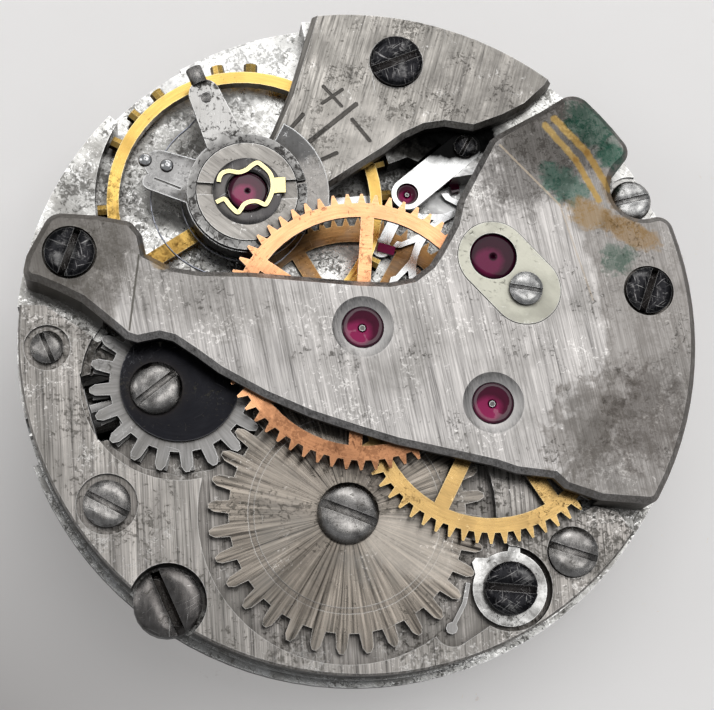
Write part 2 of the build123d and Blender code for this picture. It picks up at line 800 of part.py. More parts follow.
def make_barrel_bridge():
    bridge = slab(barrel_bridge_face(), barrel_seat, barrel_bridge_top)
    rim = [edge for edge in bridge.edges().group_by(Axis.Z)[-1] if edge.geom_type == GeomType.CIRCLE
           and abs(edge.radius - barrel_bridge_radius) < seat_clearance]
    bridge = chamfer(rim, level_gap)
    low = barrel_seat - overrun
    high = barrel_bridge_top + overrun
    head_floor = barrel_bridge_top - screw_head_height / 2
    bridge -= disc(ratchet_tip_radius + pocket_clearance * 2, recess_floor, high, barrel)
    bridge -= make_crown_recess()
    bridge -= bore(barrel_arbor_radius + pivot_clearance, low, high, barrel)
    bridge -= bore(centre_arbor_radius + pivot_clearance, low, high)
    bridge -= shaft(screw_shank, low, high, crown_screw_place())
    bridge -= disc(case_notch_radius, low, high, case_screw_place)
    bridge -= stem_box(stem_pocket_width, winding_pinion_distance - winding_pinion_length,
                       winding_pinion_distance + winding_pinion_length / 2 + running_gap, low,
                       recess_floor + overrun)
    room = RegularPolygon(sliding_pinion_radius + running_gap, recess_sides, major_radius=False)
    bridge -= stem_frame(stem_pocket_inner) * extrude(room, amount=stem_pocket_outer - stem_pocket_inner)
    bridge -= stem_cylinder(stem_hole_radius, stem_pocket_outer - overrun, plate_radius + overrun)
    for place, head in zip(barrel_screw_places, (barrel_screw_sink, barrel_screw_heads[1] + seat_clearance)):
        bridge -= shaft(screw_shank, low, high, place)
        bridge -= disc(head, head_floor, high, place)
    bridge -= shaft(screw_shank, low, high, setting_screw_place)
    bridge -= disc(setting_screw_sink, head_floor, high, setting_screw_place)
    click_bed = Pos(*click) * Circle(click_radius + pocket_clearance)
    click_bed += strip(click, click_tip(), click_beak_width * 3)
    click_bed += bar(click, click_spring_foot(), click_radius, click_radius)
    bridge -= slab(click_bed, recess_floor, high)
    bridge -= shaft(screw_shank, barrel_seat, high, click)
    return bridge


def make_crown_recess():
    """The sunk bed of the crown wheel, deeper where its face teeth run."""
    high = barrel_bridge_top + overrun
    bed = disc(crown_tip_radius + pocket_clearance * 1.7, recess_floor, high, crown)
    return bed + recess(crown_face_outer + pocket_clearance / 2, crown_face_floor, recess_floor, crown)


def crown_screw_place():
    return polar(crown, crown_screw_offset, crown_screw_direction)


def click_tip():
    return polar(click, click_beak_length, click_beak_angle())


def click_beak_angle():
    """The beak points between the ratchet's centre and its edge, against the winding turn."""
    return bearing(click, barrel) - click_beak_turn


def click_spring_foot():
    return polar(click, click_spring_reach, bearing(click, barrel) + click_spring_turn)


def make_train_bridge():
    face = train_bridge_face()
    bridge = slab(face, bridge_underside, bridge_top)
    bridge = chamfer(bridge.edges().group_by(Axis.Z)[-1], bridge_bevel)
    bridge += slab(train_left_foot(face) + train_right_foot(face), plate_top, bridge_underside)
    for place in (centre, third):
        sink = Pos(place[0], place[1], bridge_top - jewel_sink_depth)
        bridge -= sink * Cone(jewel_radius, jewel_sink_radius, jewel_sink_depth,
                              align=(Align.CENTER, Align.CENTER, Align.MIN))
        bridge -= disc(jewel_radius, bridge_underside - overrun, bridge_top + overrun, place)
    bridge -= bore(pivot_radius + pivot_clearance, bridge_underside - overrun, bridge_top, escape)
    bridge -= slab(end_plate_face(seat_clearance), bridge_top - end_plate_thickness, bridge_top + overrun)
    bridge -= shaft(end_screw_shank, bridge_underside - overrun, bridge_top, end_screw_place())
    for place, head in zip(train_screw_places, train_screw_heads):
        bridge -= shaft(screw_shank, plate_top - overrun, bridge_top + overrun, place)
        bridge -= disc(head + level_gap, bridge_top - screw_head_height, bridge_top + overrun, place)
    return bridge


def train_bridge_face():
    """The bridge's outline with its notch for the dial key's screw and its rounded corners."""
    face = outline(train_bridge_shares, train_bridge_radius) - Pos(*key_screw_place) * Circle(key_notch_radius)
    corners = [(x * train_bridge_radius, y * train_bridge_radius) for x, y in train_corner_shares]
    return rounded(face, corners, train_corner_radii)


def train_left_foot(face):
    """The left foot stands on the plate beside the crown wheel."""
    edge = -left_foot_reach
    block = polygon([(edge, -plate_radius), (edge, plate_radius), (-plate_radius - overrun, plate_radius),
                     (-plate_radius - overrun, -plate_radius)])
    foot = face & block
    foot -= Pos(*crown) * Circle(crown_tip_radius + pocket_clearance)
    return foot - low_side_face()


def train_right_foot(face):
    """The right foot fills what lies outside the sweep, third and escape wheels."""
    edge = right_foot_reach
    block = polygon([(edge, -plate_radius), (edge, plate_radius), (plate_radius + overrun, plate_radius),
                     (plate_radius + overrun, -plate_radius)])
    foot = face & block
    foot -= Pos(*third) * Circle(third_tip_radius + pocket_clearance)
    foot -= Circle(sweep_tip_radius + pocket_clearance)
    foot -= Pos(*escape) * Circle(escape_tip_radius + pocket_clearance)
    foot -= low_side_face()
    return foot.faces().sort_by(SortBy.AREA)[-1]


def end_plate_face(clearance):
    middle = polar(escape, end_plate_length / 2, end_plate_angle)
    slot = SlotCenterToCenter(end_plate_length, 2 * (end_plate_radius + clearance))
    return Pos(*middle) * Rot(0, 0, end_plate_angle) * slot


def end_screw_place():
    return polar(escape, end_plate_length, end_plate_angle)


def make_balance_cock():
    face = outline(cock_shares, cock_radius)
    face += Pos(*balance) * Circle(regulator_ring_outer)
    cock = slab(face, plate_top, cock_top)
    inner = [edge for edge in cock.edges().group_by(Axis.Z)[-1] if edge.geom_type == GeomType.LINE]
    cock = chamfer(inner, cock_bevel)
    cock -= disc(shock_block_boss, plate_top - overrun, cock_top + overrun, balance)
    cock -= shaft(screw_shank, plate_top - overrun, cock_top + overrun, cock_screw_place)
    cock -= disc(cock_screw_head + seat_clearance, cock_top - screw_head_height / 2, cock_top + overrun,
                 cock_screw_place)
    return cock


def make_pallet_cock():
    cock = slab(bar(pallet, pallet_screw_place(), pallet_cock_width, pallet_cock_width),
                plate_top - pallet_cock_thickness, plate_top - seat_clearance)
    cock -= disc(pallet_jewel_radius, 0, bridge_top, pallet)
    return cock - shaft(pallet_screw_shank, 0, bridge_top, pallet_screw_place())


def make_barrel_drum():
    face = teeth_face(barrel_teeth, barrel_module, barrel_tooth_addendum, bearing(barrel, centre), 2,
                      place=barrel)
    drum = slab(face, barrel_low, barrel_low + barrel_ring_height)
    drum += barrel_round(barrel_wall_outer, barrel_low, barrel_high)
    drum -= barrel_round(barrel_wall_outer - barrel_wall, barrel_low + barrel_base, barrel_high + overrun)
    return drum - disc(barrel_pivot_radius + pivot_clearance, 0, barrel_high, barrel)


def barrel_round(radius, low, high):
    """The drum's wall is out of sight, so it is round in a few flats."""
    return shaft(radius, low, high, barrel, recess_sides)


def make_barrel_cover():
    cover = barrel_round(barrel_wall_outer - barrel_wall, barrel_high - barrel_cover_thickness, barrel_high)
    return cover - bore(barrel_arbor_radius + pivot_clearance, 0, barrel_high + overrun, barrel)


def make_barrel_arbor():
    inside_low = barrel_low + barrel_base + seat_clearance
    inside_high = barrel_high - barrel_cover_thickness - seat_clearance
    arbor = shaft(barrel_pivot_radius, barrel_floor / 4, inside_low, barrel)
    arbor += shaft(barrel_hub_radius, inside_low, inside_high, barrel)
    arbor += disc(barrel_arbor_radius, inside_high, recess_floor, barrel)
    square = extrude(Rectangle(arbor_square, arbor_square), amount=winding_high - recess_floor)
    arbor += Pos(barrel[0], barrel[1], recess_floor) * square
    return arbor - shaft(ratchet_screw_shank, recess_floor, winding_high + overrun, barrel)


def make_mainspring():
    inner = barrel_hub_radius + mainspring_strip / 2
    outer = barrel_wall_outer - barrel_wall - mainspring_strip
    pitch = (outer - inner) / mainspring_turns
    coil = slab(spiral_face(inner, pitch, mainspring_turns, mainspring_strip),
                barrel_low + barrel_base + running_gap, barrel_high - barrel_cover_thickness - running_gap)
    print("mainspring least gap", round(pitch - mainspring_strip, 3))
    return Pos(barrel[0], barrel[1], 0) * coil


def ratchet_phase():
    """A gap between two ratchet teeth faces the click's beak."""
    return bearing(barrel, click_tip()) + 180 / ratchet_teeth


def make_ratchet_wheel():
    face = teeth_face(ratchet_teeth, winding_module, winding_addendum, ratchet_phase(), 6,
                      winding_dedendum, barrel)
    wheel = slab(face, winding_low, winding_high)
    wheel -= ring(ratchet_groove_radius + ratchet_groove_width / 2,
                  ratchet_groove_radius - ratchet_groove_width / 2,
                  winding_high - ratchet_groove_depth, winding_high + overrun, barrel)
    hole = arbor_square + pivot_clearance
    square = extrude(Rectangle(hole, hole), amount=winding_high + overrun)
    return wheel - Pos(barrel[0], barrel[1], 0) * square


def make_ratchet_screw():
    return screw(barrel, ratchet_screw_head, winding_high, winding_high + ratchet_screw_rise,
                 ratchet_screw_shank, recess_floor, -20, True)


def make_crown_wheel():
    phase = mating_phase(ratchet_phase(), ratchet_teeth, bearing(barrel, crown), crown_teeth)
    face = teeth_face(crown_teeth, winding_module, winding_addendum, phase, 6, winding_dedendum, crown)
    face -= Pos(*crown) * Circle(crown_bore_radius + pivot_clearance)
    wheel = slab(face, winding_low, winding_high)
    width = pi * crown_face_inner / crown_teeth
    for tooth in range(crown_teeth):
        angle = stem_angle + (tooth + 0.5) * 360 / crown_teeth
        block = strip(polar(crown, crown_face_inner, angle), polar(crown, crown_face_outer, angle), width)
        wheel += slab(block, winding_low - crown_face_depth, winding_low)
    return wheel


def make_crown_wheel_core():
    low = winding_high + seat_clearance
    high = low + crown_core_thickness
    core = disc(crown_bore_radius, crown_face_floor, low, crown)
    core += disc(crown_core_radius, low, high, crown)
    return core - shaft(screw_shank, 0, high + overrun, crown_screw_place())


def make_crown_wheel_screw():
    low = winding_high + seat_clearance + crown_core_thickness
    return screw(crown_screw_place(), crown_screw_head, low, low + crown_screw_rise, screw_shank,
                 stem_height + sliding_pinion_radius + running_gap, 40, True)


def make_click():
    body = Pos(*click) * Circle(click_radius)
    side = click_beak_angle()
    root_side = polar(click, click_radius * 0.8, side + 60)
    far_side = polar(click, click_radius * 0.8, side - 60)
    tip = click_tip()
    beak = polygon([root_side, polar(tip, click_tip_width / 2, side + 90),
                    polar(tip, click_tip_width / 2, side - 90), far_side])
    tab = bar(click, polar(click, click_tab_length, click_tab_angle), click_beak_width, click_tip_width * 2)
    face = body + beak + tab
    return slab(face, winding_low, winding_low + click_thickness) - disc(
        screw_shank + pivot_clearance, 0, bridge_top, click)


def make_click_screw():
    low = winding_low + click_thickness + seat_clearance
    return screw(click, click_screw_head, low, low + screw_head_height, screw_shank, barrel_seat, -4)


def make_click_spring():
    """A bent blade from its foot to the back of the click."""
    foot = click_spring_foot()
    touch = polar(click, click_radius + click_spring_width, bearing(click, foot) - 42)
    bend = polar(click, click_radius + click_spring_width * 2.4, bearing(click, foot) - 16)
    face = strip(touch, bend, click_spring_width) + strip(bend, foot, click_spring_width)
    face += Pos(*foot) * RegularPolygon(click_spring_width * 1.4, small_round_sides)
    low = recess_floor
    return slab(face, low, low + click_thickness * 0.7)


def make_winding_pinion():
    inner = winding_pinion_distance - winding_pinion_length / 2
    pitch_share = 0.5
    face = Circle(winding_pinion_radius)
    gap = winding_pinion_radius * pi / winding_teeth * pitch_share
    for tooth in range(winding_teeth):
        angle = 90 + (tooth + 0.5) * 360 / winding_teeth
        face -= strip(polar(centre, winding_pinion_radius * 0.8, angle),
                      polar(centre, winding_pinion_radius + overrun, angle), gap * 2)
    face -= RegularPolygon(stem_bore_radius, small_round_sides, major_radius=False)
    return stem_frame(inner) * extrude(face, amount=winding_pinion_length)


def make_sliding_pinion():
    middle = sliding_middle()
    low = middle - sliding_pinion_length / 2
    high = low + sliding_pinion_length
    groove_low = middle - sliding_groove_width / 2
    groove_high = middle + sliding_groove_width / 2
    end = RegularPolygon(sliding_pinion_radius, winding_teeth)
    pinion = stem_frame(low) * extrude(end, amount=groove_low - low)
    pinion += stem_cylinder(sliding_groove_radius, groove_low, groove_high)
    pinion += stem_frame(groove_high) * extrude(end, amount=high - groove_high)
    square = Rectangle(stem_bore_radius * 1.6, stem_bore_radius * 1.6)
    pinion -= stem_frame(low - overrun) * extrude(square, amount=sliding_pinion_length + 2 * overrun)
    notch = sliding_pinion_radius * pi / winding_teeth
    for tooth in range(0, winding_teeth, 2):
        cut = Pos(sliding_pinion_radius, 0, 0) * Box(sliding_pinion_radius * 0.6, notch, notch * 1.2)
        pinion -= stem_frame(high) * Rot(0, 0, tooth * 360 / winding_teeth) * cut
    return pinion


def make_setting_lever():
    face = bar(setting_screw_place, setting_pin_place(), setting_lever_width, setting_lever_width * 0.8)
    face += strip(setting_screw_place, setting_tail_place(), setting_lever_width / 2)
    lever = slab(face, keyless_low, keyless_low + keyless_thickness)
    lever += shaft(setting_pin_radius, keyless_low + keyless_thickness,
                   stem_height - stem_hole_radius - running_gap, setting_pin_place())
    return lever - disc(screw_shank + pivot_clearance, -overrun, plate_top, setting_screw_place)


def make_setting_lever_screw():
    head_low = barrel_bridge_top - screw_head_height / 2
    body = screw(setting_screw_place, setting_screw_head, head_low, head_low + screw_head_height * 0.8,
                 screw_shank, keyless_low - seat_clearance, -66)
    return body


def make_yoke():
    """A lever whose forked tip lies under the sliding pinion's groove."""
    tip = yoke_tip_place()
    face = bar(yoke_pivot(), tip, yoke_width * 1.5, yoke_width)
    yoke = slab(face, keyless_low, keyless_low + keyless_thickness)
    finger_high = stem_height - sliding_groove_radius - running_gap
    finger = sliding_groove_width / 2 - pivot_clearance * 2
    yoke += shaft(finger, keyless_low + keyless_thickness, finger_high, tip)
    return yoke + disc(yoke_post_radius - pivot_clearance, keyless_low, keyless_recess_depth + level_gap,
                       yoke_pivot())


def yoke_spring_places():
    """The blade's foot, its bend, and where it meets the yoke."""
    foot = polar(yoke_pivot(), yoke_width * 2.4, 0)
    middle = polar(foot, yoke_width * 3.2, 268)
    return foot, middle, polar(yoke_tip_place(), yoke_width * 0.75, 40)


def make_yoke_spring():
    """A blade that presses on the yoke's side, with its screwed foot near the plate's edge."""
    foot, middle, touch = yoke_spring_places()
    face = strip(foot, middle, yoke_spring_width) + strip(middle, touch, yoke_spring_width)
    face += Pos(*foot) * RegularPolygon(yoke_width * 0.6, small_round_sides)
    return slab(face, keyless_low, keyless_low + keyless_thickness)


def make_setting_wheel():
    phase = mating_phase(bearing(minute, centre), minute_teeth, bearing(minute, setting_wheel_place),
                         setting_wheel_teeth)
    face = teeth_face(setting_wheel_teeth, minute_module, motion_addendum, phase, 2,
                      place=setting_wheel_place)
    wheel = slab(face, minute_low, minute_high)
    return wheel + disc(setting_post_radius - pivot_clearance, minute_high,
                        motion_recess_depth + running_gap, setting_wheel_place)


def make_centre_wheel():
    face = teeth_face(centre_teeth, centre_module, wheel_addendum, bearing(centre, third), 3)
    face -= windows(centre_rim_radius, wheel_hub_radius, wheel_spokes, centre_spoke_width, centre_spoke_phase)
    wheel = slab(face, centre_wheel_low, centre_wheel_high)
    return wheel - bore(centre_arbor_radius, 0, plate_top)


def make_centre_pinion():
    """The hollow centre arbor with its leaves, open for the seconds arbor."""
    phase = mating_phase(bearing(barrel, centre), barrel_teeth, bearing(barrel, centre), centre_leaves)
    leaves = teeth_face(centre_leaves, barrel_module, pinion_addendum, phase, 3)
    pinion = slab(leaves, barrel_low, centre_wheel_low)
    pinion += shaft(centre_arbor_radius, -cannon_drop + seat_clearance, plate_top - running_gap, centre,
                    recess_sides)
    return pinion - bore(sweep_arbor_radius + pivot_clearance * 2, -cannon_drop, plate_top)


def make_third_wheel():
    face = teeth_face(third_teeth, third_module, wheel_addendum, bearing(third, centre), 4, place=third)
    face -= windows(third_rim_radius, wheel_hub_radius, wheel_spokes, third_spoke_width, third_spoke_phase,
                    third)
    return slab(face, third_wheel_low, third_wheel_high) - bore(arbor_radius, 0, bridge_top, third)


def make_third_pinion():
    phase = mating_phase(bearing(centre, third), centre_teeth, bearing(centre, third), third_leaves)
    leaves = teeth_face(third_leaves, centre_module, pinion_addendum, phase, 4, place=third)
    pinion = slab(leaves, pocket_floor + running_gap, third_wheel_low)
    pinion += disc(arbor_radius, third_wheel_low, bridge_underside - level_gap, third)
    pinion += shaft(pivot_radius, bridge_underside - level_gap, jewel_top - jewel_thickness / 2, third)
    return pinion + shaft(pivot_radius, pocket_floor - jewel_thickness, pocket_floor + running_gap, third)


def make_sweep_wheel():
    face = teeth_face(sweep_teeth, sweep_module, pinion_addendum, bearing(centre, escape), 4)
    face -= windows(sweep_rim_radius, wheel_hub_radius, wheel_spokes, sweep_spoke_width, sweep_spoke_phase)
    return slab(face, sweep_wheel_low, sweep_wheel_high) - bore(arbor_radius, 0, bridge_top)


def make_sweep_pinion():
    """The seconds arbor: leaves above, and a long post down through the hollow centre arbor."""
    phase = mating_phase(bearing(third, centre), third_teeth, bearing(third, centre), sweep_leaves)
    leaves = teeth_face(sweep_leaves, third_module, pinion_addendum, phase, 4)
    pinion = slab(leaves, barrel_bridge_top + level_gap, sweep_wheel_low)
    pinion += shaft(arbor_radius, sweep_wheel_low, sweep_wheel_high + seat_clearance)
    pinion += shaft(pivot_radius, sweep_wheel_high, jewel_top - jewel_thickness / 2)
    return pinion + disc(sweep_arbor_radius, -seconds_post_drop, barrel_bridge_top + level_gap)


def escape_phase():
    """The teeth stand clear of both pallet stones at rest."""
    return pallet_direction - pallet_half_span + 90 / escape_teeth


def make_escape_wheel():
    """Fifteen leaning club teeth on a thin rim."""
    points = []
    pitch = 360 / escape_teeth
    heel_width = 0.9
    club_width = 3.4
    root_width = 7.5
    club_root = escape_tip_radius - escape_rim_width
    for tooth in range(escape_teeth):
        angle = escape_phase() + tooth * pitch
        points.append(polar(escape, escape_rim_radius, angle - escape_tooth_lean - root_width))
        points.append(polar(escape, club_root, angle - heel_width * 2))
        points.append(polar(escape, escape_tip_radius - escape_rim_width / 3, angle - heel_width))
        points.append(polar(escape, escape_tip_radius, angle + club_width))
        points.append(polar(escape, club_root, angle + club_width - heel_width))
        points.append(polar(escape, escape_rim_radius, angle - escape_tooth_lean + heel_width))
    face = polygon(points)
    face -= windows(escape_rim_radius - escape_rim_width, wheel_hub_radius, escape_spokes,
                    escape_spoke_width, escape_spoke_phase, escape)
    wheel = slab(face, escape_wheel_low, escape_wheel_low + escape_wheel_thickness)
    return wheel - bore(arbor_radius, 0, plate_top, escape)


def make_escape_pinion():
    phase = mating_phase(bearing(centre, escape), sweep_teeth, bearing(centre, escape), escape_leaves)
    leaves = teeth_face(escape_leaves, sweep_module, pinion_addendum, phase, 4, place=escape)
    leaf_low = third_wheel_high + level_gap
    leaf_high = bridge_underside - running_gap / 2
    pinion = slab(leaves, leaf_low, leaf_high)
    pinion += disc(arbor_radius, escape_floor + running_gap, leaf_low, escape)
    pinion += shaft(pivot_radius, leaf_high, bridge_top - end_plate_thickness - seat_clearance, escape)
    return pinion + shaft(pivot_radius, escape_floor - jewel_thickness, escape_floor + running_gap, escape)


def stone_places():
    """Where the two stones meet the escape wheel, as angles about its axis."""
    return (pallet_direction - pallet_half_span, pallet_direction + pallet_half_span)


def stone_back(angle):
    """The middle of the arm's end, round a stone's back."""
    return polar(escape, escape_tip_radius + stone_length * 0.6, angle)


def make_pallet_fork():
    line = bearing(pallet, balance)
    length = reach(pallet, balance) - impulse_distance
    notch = polar(pallet, length, line)
    horn = polar(pallet, length - fork_slot_depth, line)
    face = bar(pallet, horn, fork_width * 1.6, fork_tail_width)
    face += strip(polar(horn, fork_slot_depth / 2, line + 180), polar(notch, fork_slot_depth / 2, line),
                  fork_horn_width)
    for angle in stone_places():
        back = stone_back(angle)
        face += strip(pallet, back, pallet_arm_width)
        face += Pos(*back) * Circle(pallet_arm_width * 0.82)
    face -= strip(polar(notch, fork_slot_depth / 2, line + 180), polar(notch, fork_slot_depth, line),
                  fork_slot_width)
    for angle in stone_places():
        face -= stone_face(angle)
    face -= Pos(*escape) * Circle(escape_tip_radius + seat_clearance * 2)
    return slab(face, fork_low, fork_high) - bore(pallet_arbor_radius, 0, plate_top, pallet)


def stone_face(angle):
    inner = polar(escape, escape_tip_radius - stone_lock, angle)
    outer = polar(escape, escape_tip_radius - stone_lock + stone_length, angle)
    return strip(inner, outer, stone_width)


def make_pallet_stones():
    stones = [slab(stone_face(angle), fork_low - pivot_clearance, fork_low - pivot_clearance + stone_height)
              for angle in stone_places()]
    return Compound(children=stones)


def make_pallet_arbor():
    underside = plate_top - pallet_cock_thickness
    arbor = disc(pallet_arbor_radius, escape_floor + pivot_clearance, underside - running_gap, pallet)
    arbor += shaft(pallet_pivot_radius, underside - running_gap, plate_top - pallet_cock_thickness / 2, pallet)
    return arbor + shaft(pallet_pivot_radius, escape_floor - jewel_thickness, escape_floor + pivot_clearance,
                         pallet)


def make_balance_wheel():
    inner = balance_outer_radius - balance_rim_width
    wheel = ring(balance_outer_radius, inner, rim_low, rim_high, balance)
    reach_out = inner + balance_rim_width / 2
    arm = strip(polar(balance, reach_out, balance_arm_angle), polar(balance, reach_out, balance_arm_angle + 180),
                balance_arm_width)
    arm += Pos(*balance) * Circle(balance_hub_radius)
    wheel += slab(arm, arm_low, arm_low + balance_arm_thickness)
    return wheel - bore(staff_radius, rim_low - overrun, rim_high + overrun, balance)


def make_balance_screws():
    """The screws in the rim, their heads flush with its face where they touch it."""
    heads = []
    level = (rim_low + rim_high) / 2
    inset = sqrt(balance_outer_radius ** 2 - balance_screw_radius ** 2)
    for angle in balance_screw_angles + tuple(angle + 180 for angle in balance_screw_angles):
        place = polar(balance, inset, angle)
        direction = Plane(origin=(place[0], place[1], level), z_dir=(cos(radians(angle)), sin(radians(angle)), 0))
        head = direction * extrude(RegularPolygon(balance_screw_radius, small_round_sides),
                                   amount=balance_tip_radius - inset)
        heads.append(head)
    return Compound(children=heads)


def make_balance_staff():
    low_pivot = escape_floor - jewel_thickness
    staff = disc(staff_radius, roller_low, hairspring_low + collet_height, balance)
    staff += shaft(staff_pivot_radius * 1.6, hairspring_low + collet_height, cock_top - level_gap, balance)
    staff += shaft(staff_pivot_radius, cock_top - level_gap, lower_jewel_high(), balance)
    return staff + shaft(staff_pivot_radius, low_pivot, roller_low, balance)


def shock_cavity_low():
    return shock_top - shock_cavity_depth - balance_jewel_thickness


def lower_jewel_high():
    """The top of the hole jewel in the shock setting, which the staff's upper pivot just reaches."""
    return shock_cavity_low() - seat_clearance


def make_roller():
    roller = disc(roller_radius, roller_low, roller_low + roller_thickness, balance)
    hole = polar(balance, impulse_distance, bearing(balance, pallet))
    roller -= bore(staff_radius, 0, cock_top, balance)
    return roller - shaft(impulse_radius, 0, cock_top, hole)


def make_impulse_jewel():
    place = polar(balance, impulse_distance, bearing(balance, pallet))
    high = roller_low + roller_thickness
    return shaft(impulse_radius, high - impulse_length, high, place)


def make_hairspring():
    """A flat spiral whose last half turn opens out to the stud."""
    face = spiral_face(hairspring_inner(), hairspring_pitch, hairspring_turns, hairspring_strip, -1,
                       stud_distance)
    print("hairspring least gap", round(hairspring_pitch - hairspring_strip, 3))
    coil = slab(face, hairspring_low, hairspring_low + hairspring_height)
    return Pos(balance[0], balance[1], 0) * Rot(0, 0, stud_angle) * coil


def hairspring_inner():
    return hairspring_outer - hairspring_pitch * hairspring_turns


def outer_coil_radius(angle):
    """How far the spring's last half turn lies from the balance's axis at an angle."""
    near = hairspring_outer - hairspring_pitch / 2
    shift = (stud_distance - near) / 2
    turn = radians(angle - stud_angle)
    return shift * cos(turn) + sqrt(((near + stud_distance) / 2) ** 2 - (shift * sin(turn)) ** 2)


def make_collet():
    collet = disc(hairspring_inner() - hairspring_strip / 2, hairspring_low, hairspring_low + collet_height, balance)
    return collet - bore(staff_radius, 0, cock_top, balance)


def make_stud():
    place = polar(balance, stud_distance + stud_radius / 2, stud_angle)
    return shaft(stud_radius, hairspring_low - seat_clearance, carrier_high + seat_clearance, place)


def make_regulator():
    """The index ring with its toothless sector, its tail, its lower prong and the two curb pins."""
    face = Pos(*balance) * Circle(regulator_ring_outer)
    face += sector(regulator_sector_radius, regulator_sector_start, regulator_sector_end, balance)
    tail_end = polar(balance, regulator_tail_length - regulator_tail_width / 2, regulator_tail_angle)
    face += bar(balance, tail_end, regulator_tail_width * 1.3, regulator_tail_width)
    prong_end = polar(balance, *regulator_prong_end)
    prong = bar(polar(balance, *regulator_prong_start), prong_end, regulator_prong_width, regulator_prong_width)
    face += prong
    side = bearing(balance, tail_end) + 90
    split = strip(polar(tail_end, (regulator_tail_width + regulator_prong_gap) / 2, side),
                  polar(polar(balance, regulator_ring_outer + level_gap, side - 90),
                        (regulator_tail_width * 1.1 + regulator_prong_gap) / 2, side), regulator_prong_gap)
    face -= split
    face -= Pos(*balance) * Circle(regulator_ring_inner)
    ring_piece = slab(face, regulator_low, regulator_high)
    coil_radius = outer_coil_radius(regulator_tail_angle)
    half = (hairspring_strip + curb_pin_gap) / 2 + curb_pin_radius
    for offset in (-half, half):
        place = polar(balance, coil_radius + offset, regulator_tail_angle)
        ring_piece += shaft(curb_pin_radius, hairspring_low, regulator_low, place)
    return ring_piece


def make_stud_carrier():
    face = Pos(*balance) * Circle(stud_carrier_outer) + stud_arm_face()
    face -= Pos(*balance) * Circle(stud_carrier_inner)
    slit_end = polar(balance, stud_carrier_outer + overrun, stud_carrier_slit_angle)
    face -= strip(balance, slit_end, stud_carrier_slit)
    place = polar(balance, stud_distance + stud_radius / 2, stud_angle)
    return slab(face, carrier_low, carrier_high) - shaft(stud_radius, 0, carrier_high + overrun, place)


def stud_arm_face():
    arm_end = polar(balance, stud_arm_length - stud_arm_width / 2, stud_angle)
    return bar(balance, arm_end, stud_arm_root, stud_arm_width)


def make_stud_screw():
    """The small slotted screw that stands out of the stud carrier's end."""
    start = polar(balance, stud_arm_length - stud_screw_radius / 2, stud_angle)
    plane = Plane(origin=(start[0], start[1], carrier_low + stud_carrier_thickness / 2),
                  z_dir=(cos(radians(stud_angle)), sin(radians(stud_angle)), 0))
    head = plane * extrude(Circle(stud_screw_radius), amount=stud_screw_length)
    slot = Pos(0, 0, stud_screw_length) * Box(stud_screw_radius * 2.2, stud_screw_radius * 0.35,
                                              stud_screw_radius)
    return head - plane * slot - slab(stud_arm_face(), carrier_low, carrier_high)


def make_shock_block():
    block = disc(shock_block_radius, cock_top, shock_top, balance)
    block += shaft(shock_block_boss, plate_top + running_gap, cock_top, balance)
    block -= disc(shock_cavity_radius, shock_top - shock_cavity_depth, shock_top + overrun, balance)
    block -= bore(balance_jewel_radius, lower_jewel_high() - balance_jewel_thickness, shock_top, balance)
    block -= bore(staff_radius, 0, shock_top, balance)
    slot = strip(balance, polar(balance, shock_block_radius + overrun, 5), shock_slot_width * 1.6)
    slot += strip(balance, polar(balance, shock_block_radius + overrun, 178), shock_slot_width)
    return block - slab(slot, shock_top - shock_spring_thickness * 2, shock_top + overrun)


def make_shock_spring():
    """A flat lyre: a ring open on the left, with a tongue on the right and waists over the jewel."""
    face = Pos(*balance) * (Circle(shock_spring_outer) - Circle(shock_spring_inner))
    waist = shock_spring_outer - shock_spring_inner
    for side in (-1, 1):
        crest = polar(balance, balance_jewel_radius - waist, side * 100)
        shoulder = polar(balance, shock_spring_inner + waist / 2, side * 62)
        other = polar(balance, shock_spring_inner + waist / 2, side * 138)
        face += bar(crest, shoulder, waist, waist)
        face += bar(crest, other, waist, waist)
    face += strip(polar(balance, shock_spring_inner + waist / 2, 5), polar(balance, shock_tongue_length, 5),
                  shock_tongue_width)
    face -= strip(balance, polar(balance, shock_spring_outer + overrun, 178), shock_slot_width)
    for side in (-1, 1):
        gap = polar(balance, shock_spring_outer + waist, side * 100)
        face -= Pos(*gap) * Circle(waist * 1.6)
    low = shock_top - shock_cavity_depth + seat_clearance * 2
    return slab(face, low, low + shock_spring_thickness)


def make_balance_jewels():
    """The hole jewel and the cap jewel of the balance's upper pivot."""
    hole = hole_jewel(balance, balance_jewel_radius, lower_jewel_high() - balance_jewel_thickness,
                      balance_jewel_thickness, staff_pivot_radius + pivot_clearance)
    low = lower_jewel_high() + seat_clearance
    return Compound(children=[hole, disc(balance_jewel_radius, low, low + balance_jewel_thickness, balance)])


def make_train_jewels():
    """The pierced train jewels in the bridge and the pallet cock, and the escape pivot's end-stone."""
    hole = pivot_radius + pivot_clearance
    stones = []
    for place in (centre, third):
        stones.append(hole_jewel(place, jewel_radius, jewel_top - jewel_thickness, jewel_thickness, hole))
    stones.append(disc(end_stone_radius, bridge_top - end_plate_thickness, bridge_top, escape))
    stones.append(hole_jewel(pallet, pallet_jewel_radius, plate_top - pallet_cock_thickness,
                             pallet_cock_thickness / 2, pallet_pivot_radius + pivot_clearance))
    return Compound(children=stones)


def make_end_stone_plate():
    face = end_plate_face(0) - Pos(*escape) * Circle(end_stone_radius)
    plate = slab(face, bridge_top - end_plate_thickness, bridge_top + seat_clearance)
    return plate - shaft(end_screw_shank, 0, bridge_top + overrun, end_screw_place())


def make_end_stone_screw():
    low = bridge_top + seat_clearance
    return screw(end_screw_place(), end_screw_head, low, low + screw_head_height / 2, end_screw_shank,
                 bridge_underside, -8)


